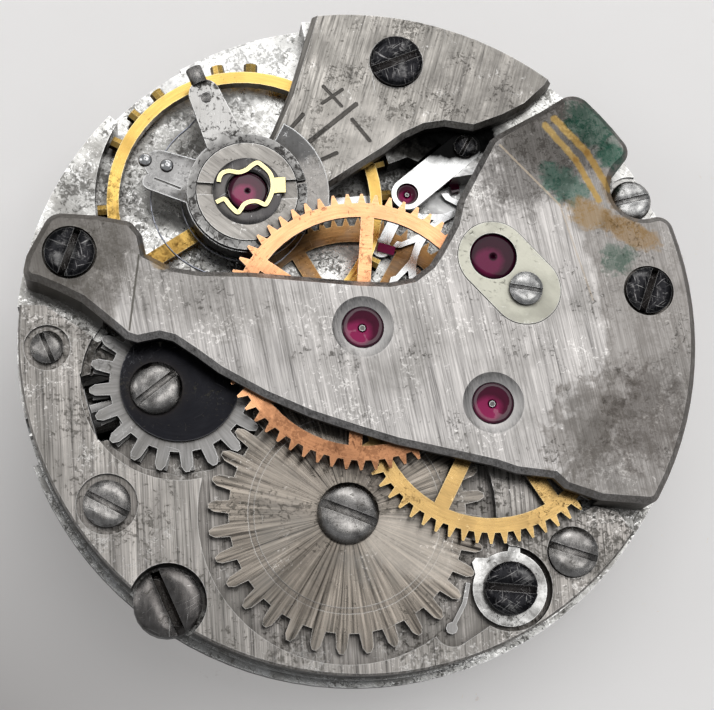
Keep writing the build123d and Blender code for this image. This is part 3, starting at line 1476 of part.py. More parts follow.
def make_bridge_screws():
    screws = []
    for place, head, slot in zip(train_screw_places, train_screw_heads, train_screw_slots):
        screws.append(screw(place, head, bridge_top - screw_head_height, bridge_top + level_gap, screw_shank,
                            barrel_seat, slot))
    low = cock_top - screw_head_height / 2
    screws.append(screw(cock_screw_place, cock_screw_head, low, low + screw_head_height, screw_shank,
                        barrel_seat, cock_screw_slot))
    return Compound(children=screws)


def make_barrel_bridge_screws():
    low = barrel_bridge_top - screw_head_height / 2
    return Compound(children=[
        screw(place, head, low, low + screw_head_height, screw_shank, barrel_floor, slot)
        for place, head, slot in zip(barrel_screw_places, barrel_screw_heads, barrel_screw_slots)])


def make_case_screw():
    return screw(case_screw_place, case_screw_head, barrel_seat, barrel_bridge_top - level_gap, screw_shank,
                 flange_low, case_screw_slot, False)


def make_dial_key_screw():
    low = plate_top - screw_head_height / 3
    return screw(key_screw_place, key_screw_head, low, low + screw_head_height, screw_shank, barrel_seat,
                 key_screw_slot, True)


def make_pallet_cock_screw():
    low = plate_top - seat_clearance
    return screw(pallet_screw_place(), pallet_screw_head, low, low + screw_head_height / 2, pallet_screw_shank,
                 escape_floor, 62)


def make_cannon_pinion():
    """The cannon pinion on the centre arbor's lower end, driving the minute wheel."""
    phase = mating_phase(bearing(minute, centre), minute_teeth, bearing(minute, centre), cannon_teeth)
    leaves = teeth_face(cannon_teeth, minute_module, motion_addendum, phase, 2)
    cannon = slab(leaves, minute_low, minute_high)
    seat_high = minute_seat_length - cannon_drop
    cannon += shaft(centre_arbor_radius + cannon_wall, seat_high, hour_high)
    cannon += shaft(centre_arbor_radius + cannon_wall / 2, hour_high, minute_low)
    cannon += disc(minute_seat_radius, -cannon_drop, seat_high)
    return cannon - shaft(centre_arbor_radius, -cannon_drop - overrun, motion_recess_depth, centre, recess_sides)


def make_minute_wheel():
    """The minute wheel with its pinion, on a short post in the plate."""
    toward = bearing(minute, centre)
    wheel = slab(teeth_face(minute_teeth, minute_module, motion_addendum, toward, 2, place=minute), minute_low,
                 minute_high)
    wheel += slab(teeth_face(minute_leaves, hour_module, motion_addendum, toward, 2, place=minute),
                  hour_low - seat_clearance, minute_low)
    return wheel + disc(minute_post_radius - pivot_clearance, minute_high, motion_recess_depth + running_gap,
                        minute)


def make_hour_wheel():
    phase = mating_phase(bearing(minute, centre), minute_leaves, bearing(minute, centre), hour_teeth)
    wheel = slab(teeth_face(hour_teeth, hour_module, motion_addendum, phase, 2), hour_low, hour_high)
    wheel += disc(hour_tube_radius, -hour_tube_drop, hour_low)
    return wheel - bore(centre_arbor_radius + cannon_wall + pivot_clearance, -hour_tube_drop - overrun,
                        hour_high + overrun)


pieces = {
    "main_plate": make_main_plate,
    "barrel_bridge": make_barrel_bridge,
    "train_bridge": make_train_bridge,
    "balance_cock": make_balance_cock,
    "pallet_cock": make_pallet_cock,
    "barrel_drum": make_barrel_drum,
    "barrel_cover": make_barrel_cover,
    "barrel_arbor": make_barrel_arbor,
    "mainspring": make_mainspring,
    "ratchet_wheel": make_ratchet_wheel,
    "ratchet_screw": make_ratchet_screw,
    "crown_wheel": make_crown_wheel,
    "crown_wheel_core": make_crown_wheel_core,
    "crown_wheel_screw": make_crown_wheel_screw,
    "click": make_click,
    "click_screw": make_click_screw,
    "click_spring": make_click_spring,
    "winding_pinion": make_winding_pinion,
    "sliding_pinion": make_sliding_pinion,
    "setting_lever": make_setting_lever,
    "setting_lever_screw": make_setting_lever_screw,
    "yoke": make_yoke,
    "yoke_spring": make_yoke_spring,
    "setting_wheel": make_setting_wheel,
    "centre_wheel": make_centre_wheel,
    "centre_pinion": make_centre_pinion,
    "third_wheel": make_third_wheel,
    "third_pinion": make_third_pinion,
    "sweep_wheel": make_sweep_wheel,
    "sweep_pinion": make_sweep_pinion,
    "escape_wheel": make_escape_wheel,
    "escape_pinion": make_escape_pinion,
    "pallet_fork": make_pallet_fork,
    "pallet_stones": make_pallet_stones,
    "pallet_arbor": make_pallet_arbor,
    "balance_wheel": make_balance_wheel,
    "balance_screws": make_balance_screws,
    "balance_staff": make_balance_staff,
    "roller": make_roller,
    "impulse_jewel": make_impulse_jewel,
    "hairspring": make_hairspring,
    "collet": make_collet,
    "stud": make_stud,
    "regulator": make_regulator,
    "stud_carrier": make_stud_carrier,
    "stud_screw": make_stud_screw,
    "shock_block": make_shock_block,
    "shock_spring": make_shock_spring,
    "balance_jewels": make_balance_jewels,
    "train_jewels": make_train_jewels,
    "end_stone_plate": make_end_stone_plate,
    "end_stone_screw": make_end_stone_screw,
    "bridge_screws": make_bridge_screws,
    "barrel_bridge_screws": make_barrel_bridge_screws,
    "case_screw": make_case_screw,
    "dial_key_screw": make_dial_key_screw,
    "pallet_cock_screw": make_pallet_cock_screw,
    "cannon_pinion": make_cannon_pinion,
    "minute_wheel": make_minute_wheel,
    "hour_wheel": make_hour_wheel,
}

for node, make in pieces.items():
    export_step(make(), f"parts/{node}.step")
    print("made", node)
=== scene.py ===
import bpy
import bmesh
import math
from mathutils import Matrix, Vector


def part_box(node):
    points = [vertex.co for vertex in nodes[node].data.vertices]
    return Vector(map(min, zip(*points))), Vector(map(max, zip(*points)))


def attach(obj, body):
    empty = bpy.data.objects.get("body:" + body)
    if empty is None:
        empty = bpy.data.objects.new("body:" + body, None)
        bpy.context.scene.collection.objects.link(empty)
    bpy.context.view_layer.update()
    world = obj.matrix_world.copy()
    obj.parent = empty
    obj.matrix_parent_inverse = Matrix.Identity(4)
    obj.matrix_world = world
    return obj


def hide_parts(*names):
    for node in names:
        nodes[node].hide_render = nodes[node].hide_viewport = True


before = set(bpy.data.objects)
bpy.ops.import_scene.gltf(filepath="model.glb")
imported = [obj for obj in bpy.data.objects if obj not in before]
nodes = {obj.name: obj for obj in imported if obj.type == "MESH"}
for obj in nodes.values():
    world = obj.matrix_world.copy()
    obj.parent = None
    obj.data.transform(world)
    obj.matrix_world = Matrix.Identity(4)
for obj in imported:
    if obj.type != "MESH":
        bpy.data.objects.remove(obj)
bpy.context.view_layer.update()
scene = bpy.context.scene
mm = 0.001
print("frame loaded:", len(nodes), "nodes")

# here and in every dictionary below, lengths are in mm and angles in degrees
camera = {
    "target": (0.0, 0.0, 2.0),     # on the centre axis
    "tiltX": 5.959,                # to the left of straight down
    "tiltY": 12.509,               # towards the winding side
    "distance": 55.0,
    "focal": 1947.2,               # in pixels of the photograph
    "frameWidth": 714,             # of the photograph, in pixels
    "sensor": 36,
    "offset": (0.0266, 0.5022),    # along the view's right and up
    "clip": (1, 10000),
}


def placeCamera(spec):
    tiltX, tiltY = math.radians(spec["tiltX"]), math.radians(spec["tiltY"])
    away = Vector((-math.sin(tiltX), -math.sin(tiltY) * math.cos(tiltX), math.cos(tiltY) * math.cos(tiltX)))
    right = Vector((0, 1, 0)).cross(away).normalized()
    up = away.cross(right)
    place = Vector(spec["target"]) + away * spec["distance"]
    place -= right * spec["offset"][0] + up * spec["offset"][1]
    data = bpy.data.cameras.new("viewCamera")
    data.sensor_width = spec["sensor"]
    data.lens = spec["focal"] / spec["frameWidth"] * spec["sensor"]
    data.clip_start, data.clip_end = (limit * mm for limit in spec["clip"])
    holder = bpy.data.objects.new("viewCamera", data)
    turn = Matrix((right, up, away)).transposed().to_4x4()
    holder.matrix_world = Matrix.Translation(place * mm) @ turn
    scene.collection.objects.link(holder)
    scene.camera = holder


placeCamera(camera)

# panels that face the movement; their strength is the brightness of the panel itself
lamps = {
    "overheadPanel": {"place": (30, 62, 150), "size": (150, 120), "strength": 1.55},
    "leftPanel": {"place": (-150, 30, 90), "size": (60, 140), "strength": 1.5},
    "backPanel": {"place": (40, 170, 60), "size": (160, 50), "strength": 1.9},
    "rightPanel": {"place": (160, -60, 70), "size": (40, 60), "strength": 1.2},
}
room = {"colour": (0.93, 0.96, 1.0), "strength": 0.30}


def placeLamp(name, spec):
    data = bpy.data.lights.new(name, "AREA")
    data.shape = "RECTANGLE"
    data.size, data.size_y = spec["size"][0] * mm, spec["size"][1] * mm
    data.energy = spec["strength"] * data.size * data.size_y * math.pi
    holder = bpy.data.objects.new(name, data)
    place = Vector(spec["place"]) * mm
    holder.matrix_world = Matrix.Translation(place) @ place.to_track_quat("Z", "Y").to_matrix().to_4x4()
    scene.collection.objects.link(holder)


for name, spec in lamps.items():
    placeLamp(name, spec)

scene.world = bpy.data.worlds.new("room")
scene.world.use_nodes = True
worldLight = scene.world.node_tree.nodes["Background"].inputs
worldLight["Color"].default_value = (*room["colour"], 1)
worldLight["Strength"].default_value = room["strength"]
scene.view_settings.view_transform = "Standard"
print("camera and lamps placed")


class NodeBench:
    def __init__(self, tree):
        self.tree = tree

    def add(self, kind, feeds=None, **settings):
        node = self.tree.nodes.new(kind)
        for key, value in settings.items():
            setattr(node, key, value)
        for socket, value in (feeds or {}).items():
            self.feed(node.inputs[socket], value)
        return node

    def feed(self, socket, value):
        if isinstance(value, bpy.types.NodeSocket):
            self.tree.links.new(value, socket)
        else:
            socket.default_value = value

    def group(self, name, feeds=None):
        return self.add("ShaderNodeGroup", feeds, node_tree=bpy.data.node_groups[name]).outputs[0]

    def math(self, operation, first, second=0.0, clamp=False):
        return self.add("ShaderNodeMath", {0: first, 1: second, 2: 0.0}, operation=operation,
                        use_clamp=clamp).outputs[0]

    def times(self, first, second, clamp=False):
        return self.math("MULTIPLY", first, second, clamp)

    def plus(self, first, second, clamp=False):
        return self.math("ADD", first, second, clamp)

    def minus(self, first, second):
        return self.math("SUBTRACT", first, second)

    def over(self, first, second, clamp=False):
        return self.math("DIVIDE", first, second, clamp)

    def vector(self, operation, first, second=(0, 0, 0), output=0):
        return self.add("ShaderNodeVectorMath", {0: first, 1: second}, operation=operation).outputs[output]

    def measure(self, operation, first, second=(0, 0, 0)):
        return self.vector(operation, first, second, output=1)

    def scaled(self, vector, amount):
        return self.add("ShaderNodeVectorMath", {0: vector, "Scale": amount}, operation="SCALE").outputs[0]

    def point(self, x=0.0, y=0.0, z=0.0):
        return self.add("ShaderNodeCombineXYZ", {"X": x, "Y": y, "Z": z}).outputs[0]

    def turned(self, vector, angle):
        return self.add("ShaderNodeVectorRotate", {"Vector": vector, "Angle": angle},
                        rotation_type="Z_AXIS").outputs[0]

    def remap(self, value, low, high, toLow=0.0, toHigh=1.0):
        feeds = {"Value": value, "From Min": low, "From Max": high, "To Min": toLow, "To Max": toHigh}
        return self.add("ShaderNodeMapRange", feeds).outputs["Result"]

    def noise(self, vector, scale, detail, roughness=0.55, distortion=0.0):
        feeds = {"Vector": vector, "Scale": scale, "Detail": detail, "Roughness": roughness,
                 "Distortion": distortion}
        return self.add("ShaderNodeTexNoise", feeds).outputs["Fac"]

    def blend(self, amount, first, second):
        node = self.add("ShaderNodeMix", data_type="RGBA")
        self.feed(node.inputs["Factor"], amount)
        self.feed(node.inputs[6], first)      # the two colour sockets
        self.feed(node.inputs[7], second)
        return node.outputs[2]                # the colour output


# inputs are names with their plain values, a triple for a vector; the one output is a number
def newGroup(name, inputs, output):
    group = bpy.data.node_groups.new(name, "ShaderNodeTree")
    for label, value in inputs.items():
        kind = "NodeSocketVector" if isinstance(value, tuple) else "NodeSocketFloat"
        group.interface.new_socket(label, in_out="INPUT", socket_type=kind).default_value = value
    group.interface.new_socket(output, in_out="OUTPUT", socket_type="NodeSocketFloat")
    bench = NodeBench(group)
    bench.source = group.nodes.new("NodeGroupInput").outputs
    bench.sink = group.nodes.new("NodeGroupOutput").inputs[0]
    return bench


# the shaded point in mm, and again moved by the seed so that each material has a cloud of its own
def inMillimetres(bench):
    place = bench.vector("MULTIPLY", bench.add("ShaderNodeTexCoord").outputs["Object"], (1000, 1000, 1000))
    seed = bench.source["Seed"]
    return place, bench.vector("ADD", place, bench.point(seed, seed, seed))


# from a centre to the shaded point, flattened onto the plate
def flatArm(bench, place, centre):
    return bench.vector("MULTIPLY", bench.vector("SUBTRACT", place, centre), (1, 1, 0))


# a cloud about zero that makes a border ragged
def raggedness(bench, cloud, amount):
    return bench.times(bench.minus(cloud, 0.5), amount)


# straight brush strokes: long in one direction, fine across it
bench = newGroup("brushedGrain", {"Angle": 0.0, "Spacing": 0.05, "Length": 2.0, "Seed": 0.0}, "Grain")
source = bench.source
shifted = inMillimetres(bench)[1]
across = bench.over(1.0, source["Spacing"])
along = bench.over(1.0, source["Length"])
strokes = bench.vector("MULTIPLY", bench.turned(shifted, source["Angle"]), bench.point(along, across, across))
fine = bench.noise(strokes, 1.0, 3.0, 0.6)
coarse = bench.noise(strokes, 0.23, 2.0, 0.5)
bench.feed(bench.sink, bench.plus(bench.times(fine, 0.65), bench.times(coarse, 0.35)))

# grain about an axis: a high Around gives sun rays, a high Across gives turning rings
bench = newGroup("turnedGrain", {"Centre": (0, 0, 0), "Around": 1.0, "Across": 20.0, "Seed": 0.0}, "Grain")
source = bench.source
arm = flatArm(bench, inMillimetres(bench)[0], source["Centre"])
around = bench.scaled(bench.vector("NORMALIZE", arm), source["Around"])
rise = bench.plus(bench.times(bench.measure("LENGTH", arm), source["Across"]), source["Seed"])
bench.feed(bench.sink, bench.noise(bench.vector("ADD", around, bench.point(z=rise)), 1.0, 4.0, 0.62))

# cloudy patches with soft or hard borders
bench = newGroup("patches", {"Size": 1.0, "Amount": 0.5, "Softness": 0.1, "Seed": 0.0}, "Mask")
source = bench.source
shifted = inMillimetres(bench)[1]
cloud = bench.noise(shifted, bench.over(1.0, source["Size"]), 7.0, 0.62, 0.3)
border = bench.minus(1.0, source["Amount"])
bench.feed(bench.sink, bench.remap(bench.remap(cloud, 0.25, 0.75), bench.minus(border, source["Softness"]),
                                   bench.plus(border, source["Softness"])))

# thin wavy scratches that cross in three directions
bench = newGroup("scratches", {"Length": 1.5, "Width": 0.03, "Amount": 0.3, "Seed": 0.0}, "Mask")
source = bench.source
shifted = inMillimetres(bench)[1]
total = None
for turnBy in (0.4, 1.45, 2.6):
    turned = bench.turned(shifted, turnBy)
    wave = bench.times(bench.noise(turned, 0.8, 1.0), 0.5)
    stretch = bench.point(bench.over(1.0, source["Length"]), bench.over(1.0, source["Width"]), 0.5)
    wavy = bench.vector("MULTIPLY", bench.vector("ADD", turned, bench.point(y=wave)), stretch)
    limit = bench.remap(source["Amount"], 0.0, 1.0, 0.86, 0.58)
    line = bench.remap(bench.noise(wavy, 1.0, 1.0, 0.3), limit, bench.plus(limit, 0.05))
    total = line if total is None else bench.math("MAXIMUM", total, line)
bench.feed(bench.sink, total)

# irregular grime and flecks, thick in some regions and absent in others
bench = newGroup("grime", {"Size": 0.12, "Amount": 0.4, "Spread": 1.2, "Seed": 0.0}, "Mask")
source = bench.source
shifted = inMillimetres(bench)[1]
fine = bench.noise(shifted, bench.over(1.0, source["Size"]), 5.0, 0.7, 0.8)
broad = bench.noise(shifted, bench.over(1.0, source["Spread"]), 3.0, 0.55)
both = bench.plus(bench.times(fine, 0.62), bench.times(broad, 0.38))
limit = bench.remap(source["Amount"], 0.0, 1.0, 0.66, 0.40)
bench.feed(bench.sink, bench.remap(both, limit, bench.plus(limit, 0.05)))

# one stain: a ragged ellipse about a place
bench = newGroup("spot", {"Place": (0, 0, 0), "Reach": 1.0, "Stretch": 1.0, "Angle": 0.0, "Ragged": 0.5,
                          "Seed": 0.0}, "Mask")
source = bench.source
place, shifted = inMillimetres(bench)
arm = bench.turned(flatArm(bench, place, source["Place"]), bench.times(source["Angle"], -1.0))
narrow = bench.over(1.0, source["Reach"])
shape = bench.vector("MULTIPLY", arm, bench.point(bench.over(narrow, source["Stretch"]), narrow))
rough = raggedness(bench, bench.noise(shifted, 2.6, 6.0, 0.68, 0.5), bench.times(source["Ragged"], 4.0))
bench.feed(bench.sink, bench.remap(bench.plus(bench.measure("LENGTH", shape), rough), 1.15, 0.75))

# one line: everything within half a width of the stretch between two places
bench = newGroup("band", {"Start": (0, 0, 0), "End": (1, 0, 0), "Width": 0.1, "Ragged": 0.0, "Seed": 0.0},
                 "Mask")
source = bench.source
place, shifted = inMillimetres(bench)
arm = flatArm(bench, place, source["Start"])
whole = bench.vector("SUBTRACT", source["End"], source["Start"])
reach = bench.measure("DOT_PRODUCT", arm, whole)
share = bench.over(reach, bench.measure("DOT_PRODUCT", whole, whole), clamp=True)
away = bench.measure("DISTANCE", arm, bench.scaled(whole, share))
rough = raggedness(bench, bench.noise(shifted, 7.0, 5.0, 0.65), source["Ragged"])
half = bench.times(source["Width"], 0.5)
bench.feed(bench.sink, bench.remap(bench.plus(away, rough), half, bench.times(half, 0.55)))

# everything farther from an axis than a radius
bench = newGroup("outside", {"Centre": (0, 0, 0), "Radius": 5.0, "Ragged": 0.3, "Seed": 0.0}, "Mask")
source = bench.source
place, shifted = inMillimetres(bench)
arm = flatArm(bench, place, source["Centre"])
rough = raggedness(bench, bench.noise(shifted, 1.4, 6.0, 0.66), source["Ragged"])
far = bench.plus(bench.measure("LENGTH", arm), rough)
bench.feed(bench.sink, bench.remap(bench.minus(far, source["Radius"]), -0.05, 0.12))

# rubbed edges and a painted highlight along every edge, from how far a rounded normal leaves the flat one
bench = newGroup("edgeWearAndHighlight", {"Width": 0.04, "Contrast": 6.0}, "Edge")
rounded = bench.add("ShaderNodeBevel", {"Radius": bench.times(bench.source["Width"], mm)}, samples=4)
flat = bench.add("ShaderNodeNewGeometry").outputs["Normal"]
apart = bench.minus(1.0, bench.measure("DOT_PRODUCT", rounded.outputs[0], flat))
bench.feed(bench.sink, bench.times(apart, bench.source["Contrast"], clamp=True))

# painted shade that darkens corners and recesses, from ambient occlusion
bench = newGroup("cornerShade", {"Reach": 0.3, "Amount": 1.0}, "Shade")
within = bench.times(bench.source["Reach"], mm)
lit = bench.add("ShaderNodeAmbientOcclusion", {"Distance": within}, samples=6).outputs["AO"]
bench.feed(bench.sink, bench.times(bench.minus(1.0, lit), bench.source["Amount"], clamp=True))

# painted shade on upright walls: 0 on faces that look up or down, 1 on upright walls
bench = newGroup("shadedWalls", {}, "Mask")
facing = bench.add("ShaderNodeNewGeometry").outputs["True Normal"]
upright = bench.math("ABSOLUTE", bench.add("ShaderNodeSeparateXYZ", {"Vector": facing}).outputs["Z"])
bench.feed(bench.sink, bench.remap(upright, 0.75, 0.35))
print("node groups made")

# what every finish starts from: colour, worn colour and the colour of painted corner shade, then its grain,
# clouds, grime and scratches
plainMetal = {
    "colour": (0.60, 0.59, 0.57), "worn": (0.92, 0.91, 0.89), "cornerShadeColour": (0.05, 0.042, 0.035),
    "roughness": 0.32, "roughSpread": 0.14, "grimeRough": 0.25, "anisotropic": 0.0,
    "grain": "straight", "angle": 90.0, "spacing": 0.05, "length": 2.5,    # or "turned", about a centre
    "centre": (0, 0, 0), "around": 1.0, "across": 20.0,
    "grainTone": 0.45, "toneFrom": 0.32, "toneTo": 0.68, "grainDepth": 0.35, "scratchDepth": -0.5,
    "grimeDepth": 0.35, "bump": 0.006, "bumpStrength": 0.7,
    "cloudSize": 1.6, "cloudAmount": 0.35, "cloudColour": (0.34, 0.32, 0.29), "cloudStrength": 0.4,
    "cloudSoftness": 0.2,
    "grimeSize": 0.13, "grimeAmount": 0.35, "grimeColour": (0.13, 0.12, 0.10), "grimeStrength": 0.55,
    "fleckSize": 0.10, "fleckAmount": 0.25, "fleckStrength": 0.45,
    "scratchAmount": 0.3, "scratchStrength": 0.55, "scratchWidth": 0.03, "scratchLength": 1.2,
    "edgeWidth": 0.04, "edgeContrast": 6.0, "edgeStrength": 0.75, "cornerReach": 0.4, "cornerStrength": 0.85,
    # colour and share of the painted shade on upright walls
    "wallShadeColour": (0.026, 0.023, 0.021), "wallShadeStrength": 0.88,
    "rounding": 0.0,                      # how far from its edges a flat head shades like a domed one
    "seed": 0.0,
}


def newMaterial(name):
    material = bpy.data.materials.new(name)
    material.use_nodes = True
    return material, NodeBench(material.node_tree), material.node_tree.nodes["Principled BSDF"]


def buildMetal(name, changes):
    spec = dict(plainMetal, **changes)
    material, bench, shader = newMaterial(name)
    seed = spec["seed"]
    if spec["grain"] == "turned":
        grain = bench.group("turnedGrain", {"Centre": spec["centre"], "Around": spec["around"],
                                            "Across": spec["across"], "Seed": seed})
    else:
        grain = bench.group("brushedGrain", {"Angle": math.radians(spec["angle"]), "Spacing": spec["spacing"],
                                             "Length": spec["length"], "Seed": seed})
    cloud = bench.group("patches", {"Size": spec["cloudSize"], "Amount": spec["cloudAmount"],
                                    "Softness": spec["cloudSoftness"], "Seed": seed + 3})
    grime = bench.group("grime", {"Size": spec["grimeSize"], "Amount": spec["grimeAmount"],
                                  "Spread": spec["cloudSize"], "Seed": seed + 5})
    fleck = bench.group("grime", {"Size": spec["fleckSize"], "Amount": spec["fleckAmount"],
                                  "Spread": spec["cloudSize"] * 0.8, "Seed": seed + 9})
    scratch = bench.group("scratches", {"Length": spec["scratchLength"], "Width": spec["scratchWidth"],
                                        "Amount": spec["scratchAmount"], "Seed": seed + 7})
    # worn edges in the worn colour, also standing in for painted edge highlights
    edge = bench.group("edgeWearAndHighlight", {"Width": spec["edgeWidth"], "Contrast": spec["edgeContrast"]})
    corner = bench.group("cornerShade", {"Reach": spec["cornerReach"], "Amount": spec["cornerStrength"]})
    tone = bench.remap(grain, spec["toneFrom"], spec["toneTo"], 1.0 - spec["grainTone"],
                       1.0 + spec["grainTone"] * 0.5)
    base = bench.vector("MULTIPLY", spec["colour"], bench.point(tone, tone, tone))
    # the last layer is painted shade on upright walls
    layers = [(cloud, "cloudStrength", "cloudColour"), (fleck, "fleckStrength", "worn"),
              (grime, "grimeStrength", "grimeColour"), (scratch, "scratchStrength", "worn"),
              (edge, "edgeStrength", "worn"), (bench.group("shadedWalls"), "wallShadeStrength", "wallShadeColour")]
    for mask, strength, tint in layers:
        base = bench.blend(bench.times(mask, spec[strength]), base, (*spec[tint], 1))
    # painted shade in corners and recesses
    base = bench.blend(corner, base, (*spec["cornerShadeColour"], 1))
    rough = bench.plus(spec["roughness"], bench.times(bench.minus(grain, 0.5), spec["roughSpread"] * 2))
    rough = bench.plus(rough, bench.times(cloud, spec["roughSpread"]))
    rough = bench.minus(rough, bench.times(fleck, spec["roughSpread"]))
    rough = bench.plus(rough, bench.times(grime, spec["grimeRough"]), clamp=True)
    height = bench.plus(bench.times(grain, spec["grainDepth"]), bench.times(scratch, spec["scratchDepth"]))
    height = bench.plus(height, bench.times(grime, spec["grimeDepth"]))
    bump = bench.add("ShaderNodeBump", {"Height": height, "Strength": spec["bumpStrength"],
                                        "Distance": spec["bump"] * mm})
    if spec["rounding"]:
        domed = bench.add("ShaderNodeBevel", {"Radius": spec["rounding"] * mm}, samples=8)
        bench.feed(bump.inputs["Normal"], domed.outputs[0])
    bench.feed(shader.inputs["Base Color"], base)
    bench.feed(shader.inputs["Roughness"], rough)
    bench.feed(shader.inputs["Normal"], bump.outputs[0])
    if spec["anisotropic"]:
        ring = bench.add("ShaderNodeTangent", direction_type="RADIAL", axis="Z")
        bench.feed(shader.inputs["Tangent"], ring.outputs[0])
        shader.inputs["Anisotropic"].default_value = spec["anisotropic"]
    shader.inputs["Metallic"].default_value = 1.0
    return material


def boxCentre(node):
    low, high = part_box(node)
    return tuple((low[i] + high[i]) / 2 / mm for i in range(3))


def topOf(node):
    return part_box(node)[1][2] / mm


centreAxis = (0.0, 0.0, 0.0)
thirdAxis = boxCentre("third_wheel")
barrelAxis = boxCentre("ratchet_screw")
crownAxis = boxCentre("crown_wheel_core")
escapeAxis = boxCentre("escape_pinion")
balanceAxis = boxCentre("balance_staff")
palletAxis = boxCentre("pallet_arbor")

